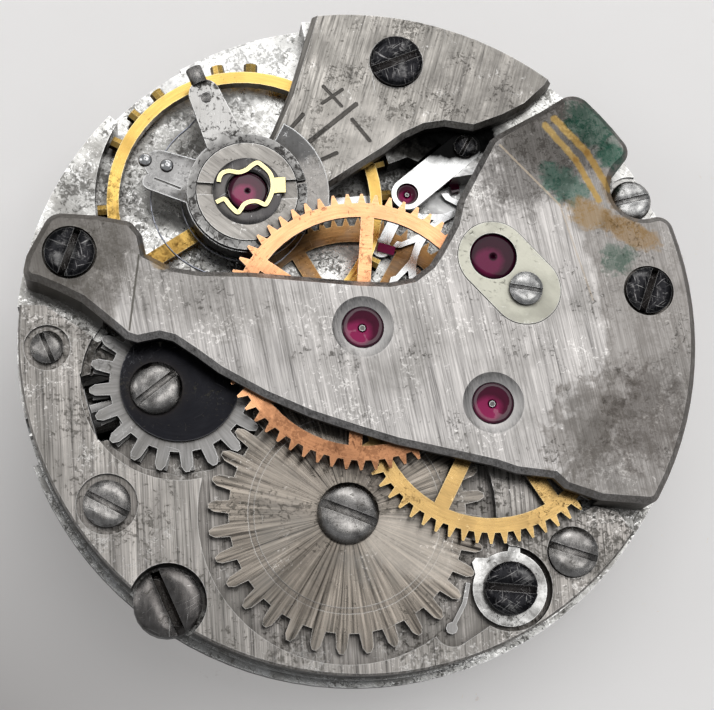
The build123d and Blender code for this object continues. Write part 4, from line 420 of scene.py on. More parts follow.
finishes = {
    "plateNickel": {"colour": (0.74, 0.73, 0.70), "angle": 35.0, "spacing": 0.06, "length": 0.9,
        "roughness": 0.22, "cloudAmount": 0.42, "cloudSize": 1.1, "cloudStrength": 0.6, "grimeAmount": 0.5,
        "grimeStrength": 0.6, "fleckAmount": 0.5, "fleckStrength": 0.7, "seed": 1.0},
    "bridgeNickel": {"colour": (0.49, 0.465, 0.445), "worn": (0.72, 0.70, 0.67), "angle": 78.0,
        "spacing": 0.05, "length": 1.8, "roughness": 0.33, "grainTone": 0.75, "cloudAmount": 0.35,
        "cloudStrength": 0.3, "grimeAmount": 0.3, "grimeStrength": 0.5, "fleckAmount": 0.35,
        "fleckStrength": 0.4, "seed": 6.0},
    "barrelBridgeNickel": {"colour": (0.50, 0.465, 0.43), "worn": (0.72, 0.70, 0.67), "angle": 86.0,
        "spacing": 0.045, "length": 2.4, "roughness": 0.32, "grainTone": 0.95, "cloudAmount": 0.42,
        "cloudSize": 1.6, "cloudStrength": 0.45, "grimeAmount": 0.45, "fleckAmount": 0.4,
        "fleckStrength": 0.5, "seed": 11.0},
    "cockNickel": {"colour": (0.50, 0.47, 0.43), "angle": 105.0, "spacing": 0.055, "length": 0.8,
        "roughness": 0.36, "grainTone": 0.85, "cloudAmount": 0.5, "cloudSize": 0.9, "cloudStrength": 0.35,
        "grimeAmount": 0.45, "grimeSize": 0.10, "grimeStrength": 0.45, "seed": 21.0},
    "ratchetSteel": {"colour": (0.355, 0.31, 0.262), "worn": (0.75, 0.72, 0.68), "grain": "turned",
        "around": 30.0, "across": 0.35, "centre": barrelAxis, "grainTone": 0.95, "roughness": 0.25,
        "anisotropic": 0.75, "cloudAmount": 0.3, "grimeAmount": 0.3, "seed": 31.0},
    "crownSteel": {"colour": (0.30, 0.29, 0.28), "grain": "turned", "around": 18.0, "across": 0.5,
        "centre": crownAxis, "grainTone": 0.5, "roughness": 0.3, "seed": 32.0},
    "polishedSteel": {"colour": (0.66, 0.66, 0.66), "roughness": 0.12, "grainTone": 0.15,
        "grainDepth": 0.05, "cloudStrength": 0.2, "scratchAmount": 0.35, "grimeAmount": 0.25, "seed": 41.0},
    "pivotSteel": {"colour": (0.09, 0.085, 0.085), "roughness": 0.25, "grainTone": 0.3, "seed": 39.0},
    "palletSteel": {"colour": (0.86, 0.855, 0.84), "roughness": 0.16, "grainTone": 0.12, "grainDepth": 0.05,
        "cloudStrength": 0.35, "cloudSize": 0.8, "grimeAmount": 0.3, "seed": 40.0},
    # the dark cloud patches on this polished screw steel are painted dark reflections
    "chromeScrew": {"colour": (0.62, 0.61, 0.59), "roughness": 0.14, "grainTone": 0.3, "spacing": 0.12,
        "length": 0.5, "cloudColour": (0.05, 0.05, 0.055), "cloudAmount": 0.45, "cloudSize": 0.45,
        "cloudStrength": 0.6, "scratchAmount": 0.5, "grimeAmount": 0.3, "rounding": 0.3, "seed": 42.0},
    "clickSteel": {"colour": (0.64, 0.63, 0.61), "roughness": 0.14, "grainTone": 0.15, "cloudStrength": 0.7,
        "cloudAmount": 0.5, "cloudSize": 0.7, "cloudColour": (0.06, 0.055, 0.05), "seed": 44.0},
    "fineSteel": {"colour": (0.34, 0.33, 0.32), "roughness": 0.26, "grainTone": 0.3, "seed": 43.0},
    "bluedSteel": {"colour": (0.020, 0.020, 0.022), "worn": (0.34, 0.33, 0.32), "roughness": 0.22,
        "spacing": 0.07, "length": 0.4, "grainTone": 0.5, "cloudColour": (0.42, 0.41, 0.40),
        "cloudAmount": 0.2, "cloudSize": 0.5, "cloudStrength": 0.5, "grimeColour": (0.01, 0.01, 0.012),
        "rounding": 0.35, "scratchAmount": 0.65, "scratchStrength": 0.55, "fleckAmount": 0.3,
        "fleckStrength": 0.3, "scratchLength": 0.5, "scratchWidth": 0.035, "edgeStrength": 0.9,
        "seed": 51.0},
    # the dark cloud patches on this polished screw steel are painted dark reflections
    "greyScrewSteel": {"colour": (0.43, 0.41, 0.39), "worn": (0.80, 0.78, 0.75), "roughness": 0.15,
        "spacing": 0.07, "length": 0.4, "grainTone": 0.3, "cloudColour": (0.05, 0.046, 0.043),
        "cloudAmount": 0.42, "cloudSize": 0.45, "cloudStrength": 0.6, "scratchAmount": 0.45,
        "fleckAmount": 0.2, "edgeStrength": 0.3, "rounding": 0.45, "seed": 57.0},
    "darkCore": {"colour": (0.018, 0.018, 0.021), "worn": (0.2, 0.2, 0.21), "roughness": 0.3,
        "grain": "turned", "centre": crownAxis, "around": 3.0, "across": 14.0, "grainTone": 0.3,
        "cloudAmount": 0.4, "cloudColour": (0.02, 0.02, 0.025), "fleckStrength": 0.15, "scratchAmount": 0.3,
        "scratchStrength": 0.3, "edgeStrength": 0.5, "seed": 61.0},
    "roseGilt": {"colour": (0.97, 0.475, 0.235), "worn": (0.95, 0.66, 0.43), "cornerShadeColour": (0.16, 0.06, 0.03),
        "grain": "turned", "centre": centreAxis, "around": 5.0, "across": 16.0, "grainTone": 0.3,
        "roughness": 0.24, "cloudColour": (0.58, 0.28, 0.16), "cloudAmount": 0.3, "cloudStrength": 0.3,
        "scratchAmount": 0.15, "grimeColour": (0.35, 0.15, 0.08), "grimeStrength": 0.4,
        "fleckStrength": 0.3, "seed": 71.0},
    "paleGilt": {"colour": (0.60, 0.39, 0.15), "worn": (0.88, 0.70, 0.38), "cornerShadeColour": (0.12, 0.07, 0.03),
        "grain": "turned", "centre": thirdAxis, "around": 4.0, "across": 14.0, "grainTone": 0.3,
        "roughness": 0.26, "cloudColour": (0.50, 0.32, 0.14), "cloudStrength": 0.45,
        "grimeColour": (0.3, 0.17, 0.06), "grimeStrength": 0.4, "scratchAmount": 0.15, "seed": 73.0},
    # a darker copy of the gilt: painted shade for the low wheels and pieces under the bridges and the cock
    "shadedGilt": {"colour": (0.34, 0.18, 0.07), "worn": (0.7, 0.48, 0.25), "cornerShadeColour": (0.05, 0.025, 0.012),
        "grain": "turned", "centre": centreAxis, "around": 4.0, "across": 12.0, "roughness": 0.3,
        "grimeColour": (0.12, 0.06, 0.02), "seed": 75.0},
    "balanceGilt": {"colour": (0.74, 0.49, 0.14), "worn": (1.0, 0.88, 0.52), "cornerShadeColour": (0.2, 0.1, 0.02),
        "grain": "turned", "centre": balanceAxis, "around": 4.0, "across": 18.0, "grainTone": 0.2,
        "roughness": 0.2, "cloudColour": (0.55, 0.32, 0.08), "cloudStrength": 0.4,
        "grimeColour": (0.4, 0.22, 0.05), "grimeStrength": 0.35, "seed": 77.0},
    "springBlue": {"colour": (0.20, 0.21, 0.25), "worn": (0.5, 0.52, 0.6), "roughness": 0.2,
        "grainTone": 0.1, "seed": 81.0},
    "blackPolish": {"colour": (0.10, 0.098, 0.096), "worn": (1.0, 1.0, 1.0), "roughness": 0.09,
        "grainTone": 0.2, "grainDepth": 0.04, "cloudStrength": 0.6, "cloudAmount": 0.5, "cloudSize": 0.8,
        "cloudColour": (0.05, 0.05, 0.05), "scratchAmount": 0.35, "edgeWidth": 0.07, "seed": 83.0},
    "carrierSteel": {"colour": (0.42, 0.41, 0.395), "roughness": 0.2, "grainTone": 0.15,
        "cloudStrength": 0.2, "grimeSize": 0.18, "grimeAmount": 0.55, "grimeColour": (0.06, 0.055, 0.05),
        "grimeStrength": 0.9, "seed": 85.0},
    "blockNickel": {"colour": (0.40, 0.375, 0.345), "angle": 35.0, "spacing": 0.08, "length": 1.0,
        "roughness": 0.32, "grainTone": 0.55, "cloudSize": 0.8, "grimeAmount": 0.35, "seed": 87.0},
    "endPlateSteel": {"colour": (0.62, 0.605, 0.51), "angle": 40.0, "spacing": 0.09, "length": 0.5,
        "grainTone": 0.12, "roughness": 0.45, "cloudStrength": 0.2, "grimeAmount": 0.25,
        "grimeStrength": 0.35, "seed": 89.0},
    "springGold": {"colour": (0.95, 0.80, 0.36), "worn": (1.0, 0.97, 0.75), "cornerShadeColour": (0.3, 0.15, 0.02),
        "roughness": 0.16, "grainTone": 0.05, "cloudStrength": 0.15, "grimeStrength": 0.1,
        "cornerStrength": 0.4, "seed": 91.0},
}
finishes["caseSteel"] = dict(finishes["greyScrewSteel"], colour=(0.21, 0.195, 0.185), seed=58.0)
made = {name: buildMetal(name, changes) for name, changes in finishes.items()}
print("finishes made:", len(made))

# the finish of every node, with the width of its softened edges
dressing = {
    "plateNickel": {"main_plate": 0.03},
    "barrelBridgeNickel": {"barrel_bridge": 0.03},
    "cockNickel": {"balance_cock": 0.02},
    "palletSteel": {"pallet_cock": 0.02},
    "shadedGilt": {"barrel_drum": 0.01, "barrel_cover": 0.01, "centre_wheel": 0.01, "collet": 0.01},
    "fineSteel": {"barrel_arbor": 0.01, "click_spring": 0.01, "winding_pinion": 0.01,
        "sliding_pinion": 0.01, "setting_lever": 0.02, "yoke": 0.02, "yoke_spring": 0.01,
        "setting_wheel": 0.01, "centre_pinion": 0.01, "cannon_pinion": 0.01},
    "springBlue": {"mainspring": 0},
    "ratchetSteel": {"ratchet_wheel": 0.03},
    "greyScrewSteel": {"ratchet_screw": 0.04, "crown_wheel_screw": 0.04, "setting_lever_screw": 0.02,
        "stud": 0.02, "stud_screw": 0.02, "barrel_bridge_screws": 0.03},
    "crownSteel": {"crown_wheel": 0.03},
    "darkCore": {"crown_wheel_core": 0.03},
    "clickSteel": {"click": 0.05},
    "bluedSteel": {"click_screw": 0.03, "bridge_screws": 0.03, "pallet_cock_screw": 0.02},
    "paleGilt": {"third_wheel": 0.015, "minute_wheel": 0.01, "hour_wheel": 0.01},
    "pivotSteel": {"third_pinion": 0.01, "sweep_pinion": 0.01, "pallet_arbor": 0.005},
    "roseGilt": {"sweep_wheel": 0.015},
    "polishedSteel": {"escape_wheel": 0.008, "escape_pinion": 0.01, "pallet_fork": 0.012,
        "balance_staff": 0.005, "roller": 0.01},
    "balanceGilt": {"balance_wheel": 0.03, "balance_screws": 0.02},
    "blackPolish": {"regulator": 0.045},
    "carrierSteel": {"stud_carrier": 0.04},
    "blockNickel": {"shock_block": 0.03},
    "endPlateSteel": {"end_stone_plate": 0.03},
    "chromeScrew": {"end_stone_screw": 0.04, "dial_key_screw": 0.04},
    "caseSteel": {"case_screw": 0.06},
    "bridgeNickel": {"train_bridge": 0.03},
}
softEdge = {"segments": 2, "sharperThan": 34, "stripShare": 0.2}


def dress(node, material, bevel):
    holder = nodes[node]
    holder.data.materials.clear()
    holder.data.materials.append(material)
    if bevel:
        modifier = holder.modifiers.new("softEdge", "BEVEL")
        modifier.width = bevel * mm
        modifier.segments = softEdge["segments"]
        modifier.limit_method = "ANGLE"
        modifier.angle_limit = math.radians(softEdge["sharperThan"])
        modifier.harden_normals = False
    for polygon in holder.data.polygons:
        polygon.use_smooth = True
    modifier = holder.modifiers.new("flatFaces", "WEIGHTED_NORMAL")
    modifier.keep_sharp = True


for finish, share in dressing.items():
    for node, bevel in share.items():
        dress(node, made[finish], bevel)
print("nodes dressed:", sum(len(share) for share in dressing.values()))


# a spot is stretched along its angle; strength is the share that covers; a solid stain covers evenly,
# and any other is broken up by fine grime
def spot(place, reach, stretch, angle, ragged, colour, strength, seed, solid=False):
    inputs = {"Place": (*place, 0), "Reach": reach, "Stretch": stretch, "Angle": math.radians(angle),
              "Ragged": ragged, "Seed": seed}
    return {"group": "spot", "inputs": inputs, "colour": colour, "strength": strength, "solid": solid}


def band(start, end, width, ragged=0.0, colour=None, strength=1.0, seed=0):
    inputs = {"Start": (*start, 0), "End": (*end, 0), "Width": width, "Ragged": ragged, "Seed": seed}
    return {"group": "band", "inputs": inputs, "colour": colour, "strength": strength, "solid": True}


def outside(radius, ragged, colour, strength, seed):
    inputs = {"Radius": radius, "Ragged": ragged, "Seed": seed}
    return {"group": "outside", "inputs": inputs, "colour": colour, "strength": strength, "solid": False}


def fromBarrel(x, y):
    return barrelAxis[0] + x, barrelAxis[1] + y


# stains by finish, laid over each other from first to last
stains = {
    # train bridge: darker outer part and darker patches, painted highlights on the polished jewel sinks, a
    # painted shadow line at the left foot's step, a painted highlight line along the step arc on the right,
    # golden bands by the right edge, verdigris and brown tarnish
    "bridgeNickel": [
        outside(6.75, 1.1, (0.21, 0.19, 0.17), 0.62, 1),
        spot((-7.9, 2.0), 1.75, 1.0, 0, 0.25, (0.16, 0.145, 0.125), 0.7, 2),
        # painted highlights on the polished sinks of the two jewels
        spot((0.05, -0.05), 0.76, 1.0, 0, 0.02, (0.86, 0.83, 0.80), 0.75, 22, solid=True),
        spot((3.66, -2.11), 0.76, 1.0, 0, 0.02, (0.86, 0.83, 0.80), 0.75, 23, solid=True),
        spot((-4.4, 0.9), 1.2, 1.9, -12, 0.4, (0.17, 0.155, 0.135), 0.35, 21),
        spot((5.1, 5.3), 1.5, 1.4, 40, 0.45, (0.07, 0.062, 0.054), 0.8, 3),
        spot((6.55, 6.05), 0.62, 1.4, -45, 0.6, (0.03, 0.11, 0.075), 0.85, 4),
        spot((7.15, 5.2), 0.38, 1.1, 0, 0.5, (0.035, 0.15, 0.10), 0.9, 5),
        spot((5.75, 4.3), 0.45, 1.7, -35, 0.6, (0.08, 0.20, 0.15), 0.75, 6),
        spot((7.25, 2.15), 0.42, 1.2, 20, 0.6, (0.10, 0.17, 0.13), 0.7, 7),
        spot((6.5, 3.4), 0.42, 1.7, -25, 0.5, (0.42, 0.27, 0.11), 0.8, 8),
        spot((7.6, 2.95), 0.40, 2.2, -25, 0.5, (0.38, 0.24, 0.10), 0.8, 9),
        spot((7.2, 4.1), 0.32, 2.0, -70, 0.4, (0.26, 0.16, 0.06), 0.75, 10),
        band((5.50, 6.22), (6.42, 5.25), 0.26, 0.12, (0.66, 0.46, 0.17), 0.9, 11),
        band((6.42, 5.25), (7.02, 4.20), 0.24, 0.12, (0.60, 0.40, 0.14), 0.9, 12),
        band((5.22, 6.02), (6.08, 5.02), 0.24, 0.12, (0.66, 0.47, 0.19), 0.9, 13),
        band((6.08, 5.02), (6.72, 3.85), 0.22, 0.12, (0.62, 0.42, 0.15), 0.9, 14),
        # painted shadow line along the step at the left foot
        band((-6.19, 1.86), (-6.40, -0.26), 0.07, 0.02, (0.16, 0.15, 0.13), 0.9, 15),
        # painted highlight along the step arc on the right part
        band((3.91, 5.38), (5.60, 3.66), 0.07, 0.05, (0.62, 0.52, 0.40), 0.7, 16),
        band((5.60, 3.66), (6.48, 0.92), 0.06, 0.06, (0.55, 0.46, 0.36), 0.5, 17),
        spot((-5.75, 1.85), 0.22, 2.4, -45, 0.4, (0.42, 0.27, 0.10), 0.8, 18),
        spot((6.3, -2.6), 1.0, 1.6, 60, 0.9, (0.17, 0.15, 0.13), 0.6, 19),
        spot((7.9, -2.4), 1.0, 1.4, 80, 0.9, (0.15, 0.13, 0.115), 0.6, 20),
    ],
    # main plate: painted shade under the cock and the bridge, painted highlights where the plate looks white
    "plateNickel": [
        spot((2.3, 6.1), 0.95, 2.3, 0, 0.1, (0.002, 0.002, 0.002), 1.0, 31, solid=True),
        # painted highlight where the plate is blown white by the balance
        spot((-4.1, 8.2), 1.5, 1.7, 25, 0.4, (0.97, 0.96, 0.93), 0.85, 41),
        spot((-4.6, 5.4), 1.9, 1.3, 40, 0.5, (0.10, 0.09, 0.08), 0.6, 32),
        spot((-7.6, 3.6), 1.1, 1.4, 60, 0.6, (0.22, 0.21, 0.195), 0.5, 33),
        spot((0.2, 4.4), 1.6, 1.3, 20, 0.3, (0.03, 0.028, 0.025), 0.8, 34),
        # painted highlight on the plate by the pallet cock
        spot((2.95, 4.45), 0.8, 1.3, 15, 0.15, (0.97, 0.96, 0.94), 0.95, 46, solid=True),
    ],
    # deep shade at the far end of the pallet cock
    "palletSteel": [
        spot((2.7, 6.05), 0.80, 2.2, 0, 0.1, (0.004, 0.004, 0.004), 1.0, 35, solid=True),
    ],
    # painted shadow on the lower part of the sweep wheel, where the bridge's edge shades it; the balance rim
    # darker at its lower left
    "roseGilt": [
        # painted shadow under the bridge's edge
        spot((-0.6, -3.3), 1.45, 2.4, 0, 0.3, (0.20, 0.085, 0.042), 0.8, 36),
    ],
    "balanceGilt": [
        spot((-5.6, 1.7), 1.4, 1.6, -40, 0.3, (0.22, 0.11, 0.025), 0.75, 37),
    ],
    # painted highlights on two sides of the regulator's polished ring
    "blackPolish": [
        spot((-1.35, 3.9), 0.75, 1.6, 80, 0.3, (0.38, 0.355, 0.33), 0.75, 38),
        spot((-5.6, 4.5), 0.65, 1.4, -15, 0.3, (0.42, 0.41, 0.40), 0.75, 39),
    ],
    # painted reflections on the ratchet wheel: two light and two dark sectors
    "ratchetSteel": [
        spot(fromBarrel(1.7, -0.9), 0.75, 2.0, -25, 0.15, (0.72, 0.65, 0.57), 0.5, 42),
        spot(fromBarrel(-1.7, 0.6), 0.7, 2.0, -20, 0.15, (0.60, 0.53, 0.46), 0.2, 43),
        spot(fromBarrel(-1.1, -1.7), 0.8, 1.8, 60, 0.2, (0.10, 0.085, 0.07), 0.45, 44),
        spot(fromBarrel(1.0, 1.6), 0.7, 1.8, 60, 0.2, (0.12, 0.10, 0.085), 0.4, 45),
    ],
    # dark ring of the stud carrier
    "carrierSteel": [
        spot((-3.21, 3.98), 1.66, 1.0, 0, 0.12, (0.055, 0.052, 0.05), 0.9, 40, solid=True),
    ],
    # balance cock: darker towards the rim, brighter by the marks
    "cockNickel": [
        spot((3.8, 7.3), 1.4, 1.3, 0, 0.4, (0.26, 0.24, 0.22), 0.4, 47),
        spot((-0.1, 5.9), 1.2, 1.2, 0, 0.3, (0.66, 0.62, 0.57), 0.5, 48),
    ],
}
breakUp = {"size": 0.10, "amount": 0.62, "spread": 0.5, "seed": 40.0, "least": 0.72, "roughening": 0.18}


def layStains(finish, rows):
    bench = NodeBench(made[finish].node_tree)
    shader = made[finish].node_tree.nodes["Principled BSDF"].inputs
    colourNow = shader["Base Color"].links[0].from_socket
    roughNow = shader["Roughness"].links[0].from_socket
    fine = bench.group("grime", {"Size": breakUp["size"], "Amount": breakUp["amount"],
                                 "Spread": breakUp["spread"], "Seed": breakUp["seed"]})
    broken = bench.remap(fine, 0.0, 1.0, breakUp["least"], 1.0)
    for stain in rows:
        amount = bench.times(bench.group(stain["group"], stain["inputs"]), stain["strength"])
        if not stain["solid"]:
            amount = bench.times(amount, broken)
        colourNow = bench.blend(amount, colourNow, (*stain["colour"], 1))
        roughNow = bench.plus(roughNow, bench.times(amount, breakUp["roughening"]), clamp=True)
    bench.feed(shader["Base Color"], colourNow)
    bench.feed(shader["Roughness"], roughNow)


for finish, rows in stains.items():
    layStains(finish, rows)

# generic regulating marks cut into the cock: a plus, a minus and three ticks
cockMarks = [
    band((-0.10, 6.77), (-1.43, 5.60), 0.15),
    band((-1.63, 6.40), (-1.95, 6.01), 0.13),
    band((-0.66, 5.28), (-1.08, 5.07), 0.13),
    band((-1.05, 7.28), (-0.52, 6.70), 0.11),
    band((-0.50, 7.20), (-1.08, 6.76), 0.11),
    band((-0.21, 6.30), (0.29, 5.69), 0.13),
]
markLook = {"colour": (0.05, 0.045, 0.04), "strength": 0.85, "depth": 0.02}


def cutMarks(finish, marks, look):
    bench = NodeBench(made[finish].node_tree)
    shader = made[finish].node_tree.nodes["Principled BSDF"].inputs
    total = None
    for mark in marks:
        one = bench.group(mark["group"], mark["inputs"])
        total = one if total is None else bench.math("MAXIMUM", total, one)
    colourNow = shader["Base Color"].links[0].from_socket
    normalNow = shader["Normal"].links[0].from_socket
    bench.feed(shader["Base Color"], bench.blend(bench.times(total, look["strength"]), colourNow,
                                                 (*look["colour"], 1)))
    bump = bench.add("ShaderNodeBump", {"Height": total, "Strength": 1.0, "Distance": look["depth"] * mm,
                                        "Normal": normalNow}, invert=True)
    bench.feed(shader["Normal"], bump.outputs[0])


cutMarks("cockNickel", cockMarks, markLook)
print("stains and marks laid")

# jewels: painted shade at the rim and in the pivot hole, a painted glow of light to one side low in the cup;
# places and reaches are shares of the radius
ruby = {"deep": (0.028, 0.0, 0.010), "body": (0.11, 0.002, 0.030), "glow": (0.52, 0.03, 0.16),
        "roughness": 0.06, "shine": 0.3, "ior": 1.77,
        "rimFrom": 0.78, "glowPlace": (-0.30, -0.35), "glowReach": 0.62, "holeReach": 0.20}
darkRuby = dict(ruby, body=(0.055, 0.001, 0.018), glow=(0.28, 0.012, 0.095), shine=0.12)


def buildRuby(name, spec, centre, radius):
    material, bench, shader = newMaterial(name)
    glowX, glowY = spec["glowPlace"]
    deep = (*spec["deep"], 1)
    cloud = bench.group("patches", {"Size": 0.4, "Amount": 0.5, "Softness": 0.4, "Seed": 4.0})
    rim = bench.group("outside", {"Centre": centre, "Radius": radius * spec["rimFrom"], "Ragged": 0.05})
    low = bench.group("spot", {"Place": (centre[0] + radius * glowX, centre[1] + radius * glowY, 0),
                               "Reach": radius * spec["glowReach"], "Stretch": 1.3, "Angle": 0.7,
                               "Ragged": 0.1})
    hole = bench.group("spot", {"Place": (*centre[:2], 0), "Reach": radius * spec["holeReach"],
                                "Ragged": 0.05})
    base = bench.blend(bench.times(cloud, 0.3), (*spec["body"], 1), deep)
    # painted light: a glow on one side of the stone
    base = bench.blend(bench.times(low, 0.7), base, (*spec["glow"], 1))
    # painted shade at the rim and in the pivot hole
    base = bench.blend(rim, base, deep)
    base = bench.blend(hole, base, deep)
    bench.feed(shader.inputs["Base Color"], base)
    shader.inputs["Roughness"].default_value = spec["roughness"]
    shader.inputs["IOR"].default_value = spec["ior"]
    shader.inputs["Specular IOR Level"].default_value = spec["shine"]
    return material


def placeMesh(name, shape, material):
    bmesh.ops.recalc_face_normals(shape, faces=shape.faces)
    mesh = bpy.data.meshes.new(name)
    shape.to_mesh(mesh)
    shape.free()
    mesh.materials.append(material)
    holder = bpy.data.objects.new(name, mesh)
    scene.collection.objects.link(holder)
    return holder


latheSteps = 64


# turns a closed profile of radii and heights about an upright axis
def lathe(name, profile, centre, material):
    shape = bmesh.new()
    rings = []
    for radius, height in profile:
        ring = []
        for step in range(latheSteps):
            turn = 2 * math.pi * step / latheSteps
            ring.append(shape.verts.new(((centre[0] + radius * math.cos(turn)) * mm,
                                         (centre[1] + radius * math.sin(turn)) * mm, height * mm)))
        rings.append(ring)
    for lower, upper in zip(rings, rings[1:]):
        for step in range(latheSteps):
            following = (step + 1) % latheSteps
            shape.faces.new((lower[step], lower[following], upper[following], upper[step]))
    for step in range(latheSteps):
        following = (step + 1) % latheSteps
        shape.faces.new((rings[-1][step], rings[-1][following], rings[0][following], rings[0][step]))
    holder = placeMesh(name, shape, material)
    for polygon in holder.data.polygons:
        polygon.use_smooth = True
    return holder


# a stone with a round rim and an oil cup that falls to the pivot hole
def cupProfile(radius, hole, low, high):
    depth = (high - low) * 0.55
    return [(radius * 0.98, low), (radius, low + 0.02), (radius, high - 0.03), (radius * 0.965, high),
            (radius * 0.80, high - 0.004), (radius * 0.70, high - 0.02), (radius * 0.52, high - depth * 0.55),
            (radius * 0.34, high - depth * 0.85), (hole * 1.5, high - depth), (hole, high - depth - 0.02)]


def domeProfile(radius, low, high, rise):
    steps = 8
    profile = [(radius * 0.98, low), (radius, low + 0.02), (radius, high)]
    for step in range(1, steps):
        turn = step / steps * math.pi / 2
        profile.append((radius * math.cos(turn), high + rise * math.sin(turn)))
    profile.append((radius * 0.02, high + rise))
    return profile


bridgeTop, palletTop, blockTop = topOf("train_bridge"), topOf("pallet_cock"), topOf("shock_block")
holeJewel = {"radius": 0.59, "hole": 0.10, "low": bridgeTop - 0.31, "high": bridgeTop - 0.11}
endStone = {"radius": 0.66, "low": bridgeTop - 0.13, "high": bridgeTop - 0.09, "rise": 0.07}
palletStone = {"radius": 0.315, "hole": 0.07, "low": palletTop - 0.2, "high": palletTop - 0.08}
capStone = {"radius": 0.55, "low": blockTop - 0.16, "high": blockTop - 0.03, "rise": 0.07}
jewels = {
    "centreJewel": (cupProfile(**holeJewel), centreAxis, ruby, holeJewel["radius"]),
    "thirdJewel": (cupProfile(**holeJewel), thirdAxis, ruby, holeJewel["radius"]),
    "escapeEndStone": (domeProfile(**endStone), escapeAxis, darkRuby, endStone["radius"]),
    "palletJewel": (cupProfile(**palletStone), palletAxis, ruby, palletStone["radius"]),
}
for name, (profile, axis, look, radius) in jewels.items():
    stone = lathe(name, profile, axis, buildRuby(name + "Ruby", look, axis, radius))
    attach(stone, "frame")
    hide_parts("train_jewels")

# the shock setting: cap jewel and the dark ring that holds it
stone = lathe("balanceCapJewel", domeProfile(**capStone), balanceAxis,
              buildRuby("capRuby", ruby, balanceAxis, 0.525))
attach(stone, "frame")
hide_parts("balance_jewels")

settingProfile = [(0.575, blockTop - 0.05), (0.98, blockTop - 0.05), (1.0, blockTop - 0.01),
                  (0.97, blockTop + 0.008), (0.66, blockTop + 0.008), (0.60, blockTop - 0.01)]
setting = lathe("capSetting", settingProfile, balanceAxis, made["pivotSteel"])
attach(setting, "frame")

stoneRuby = buildRuby("stoneRuby", ruby, palletAxis, 3.0)
for node in ("pallet_stones", "impulse_jewel"):
    dress(node, stoneRuby, 0.02)

# domed pins on the regulator's tail
tailTop = topOf("regulator")
tailPin = {"radius": 0.19, "low": tailTop - 0.1, "high": tailTop + 0.02, "rise": 0.12}
tailPins = {"leftPin": (-6.09, 4.84), "rightPin": (-5.48, 4.69)}
for name, place in tailPins.items():
    pin = lathe(name, domeProfile(**tailPin), place, made["polishedSteel"])
    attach(pin, "regulator")

# lower stones, their domes on the dial side
lowerStone = {"radius": 0.42, "low": -0.10, "high": 0.0, "rise": 0.012}
lowerPlaces = {"lowerThirdJewel": thirdAxis, "lowerEscapeJewel": escapeAxis, "lowerPalletJewel": palletAxis,
               "lowerBalanceJewel": balanceAxis}
for name, place in lowerPlaces.items():
    flipped = [(radius, -height) for radius, height in domeProfile(**lowerStone)]
    stone = lathe(name, flipped, place, buildRuby(name + "Ruby", ruby, place, lowerStone["radius"]))
    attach(stone, "frame")
print("jewels set")


# a flat spring bent along a path, as wide and as high as given
def bentStrip(name, path, width, low, height, material):
    shape = bmesh.new()
    rows = []
    for index, (x, y) in enumerate(path):
        before, after = path[max(index - 1, 0)], path[min(index + 1, len(path) - 1)]
        way = Vector((after[0] - before[0], after[1] - before[1])).normalized()
        side = Vector((-way.y, way.x)) * width / 2
        corners = [(x + side.x, y + side.y, low), (x - side.x, y - side.y, low),
                   (x - side.x, y - side.y, low + height), (x + side.x, y + side.y, low + height)]
        rows.append([shape.verts.new(tuple(value * mm for value in corner)) for corner in corners])
    for first, second in zip(rows, rows[1:]):
        for corner in range(4):
            other = (corner + 1) % 4
            shape.faces.new((first[corner], first[other], second[other], second[corner]))
    shape.faces.new(tuple(reversed(rows[0])))
    shape.faces.new(tuple(rows[-1]))
    holder = placeMesh(name, shape, material)
    modifier = holder.modifiers.new("softEdge", "BEVEL")
    modifier.width = min(width, height) * softEdge["stripShare"] * mm
    modifier.segments = softEdge["segments"]
    modifier.limit_method = "ANGLE"
    return holder


# a curve through all the points, with so many steps from each to the next
def smoothPath(points, steps=8):
    path = []
    for index in range(len(points) - 1):
        a = points[max(index - 1, 0)]
        b = points[index]
        c = points[index + 1]
        d = points[min(index + 2, len(points) - 1)]
        for step in range(steps):
            t = step / steps
            path.append(tuple(0.5 * (2 * b[i] + (c[i] - a[i]) * t
                                     + (2 * a[i] - 5 * b[i] + 4 * c[i] - d[i]) * t * t
                                     + (3 * b[i] - a[i] - 3 * c[i] + d[i]) * t ** 3) for i in range(2)))
    path.append(points[-1])
    return path


# the lyre spring over the cap jewel, and the tab that it hinges on
lyreLook = {"width": 0.12, "tabWidth": 0.46, "above": 0.01, "thick": 0.07}
lyrePoints = [(-4.02, 4.20), (-4.00, 4.33), (-3.92, 4.46), (-3.74, 4.53), (-3.47, 4.50), (-3.25, 4.58),
              (-3.09, 4.72), (-2.94, 4.80), (-2.80, 4.72), (-2.58, 4.50), (-2.50, 4.22), (-2.52, 3.95),
              (-2.63, 3.67), (-2.72, 3.58), (-2.92, 3.66), (-3.13, 3.65), (-3.30, 3.56), (-3.40, 3.40),
              (-3.49, 3.33), (-3.68, 3.50), (-3.83, 3.69), (-3.92, 3.69), (-4.08, 3.60)]
tabPoints = [(-2.52, 4.13), (-2.35, 4.16), (-2.13, 4.17)]
springLow = blockTop + lyreLook["above"]
lyre = bentStrip("lyreSpring", smoothPath(lyrePoints), lyreLook["width"], springLow + 0.005,
                 lyreLook["thick"], made["springGold"])
tab = bentStrip("lyreTab", smoothPath(tabPoints, 4), lyreLook["tabWidth"], springLow + 0.01,
                lyreLook["thick"], made["springGold"])
for piece in (lyre, tab):
    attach(piece, "frame")
    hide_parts("shock_spring")

# the hairspring with all its coils; angles run back from the stud
hairLook = {"coils": 9, "stepsPerCoil": 48, "inner": 0.72, "outer": 2.0, "width": 0.03,
            "studReach": 2.91, "studAngle": 113.7, "held": 2.705, "heldFrom": 14.0, "heldTo": 66.0,
            "open": 220.0}
hairLow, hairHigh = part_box("hairspring")[0][2] / mm, topOf("hairspring")


def ease(share):
    return share * share * (3 - 2 * share)


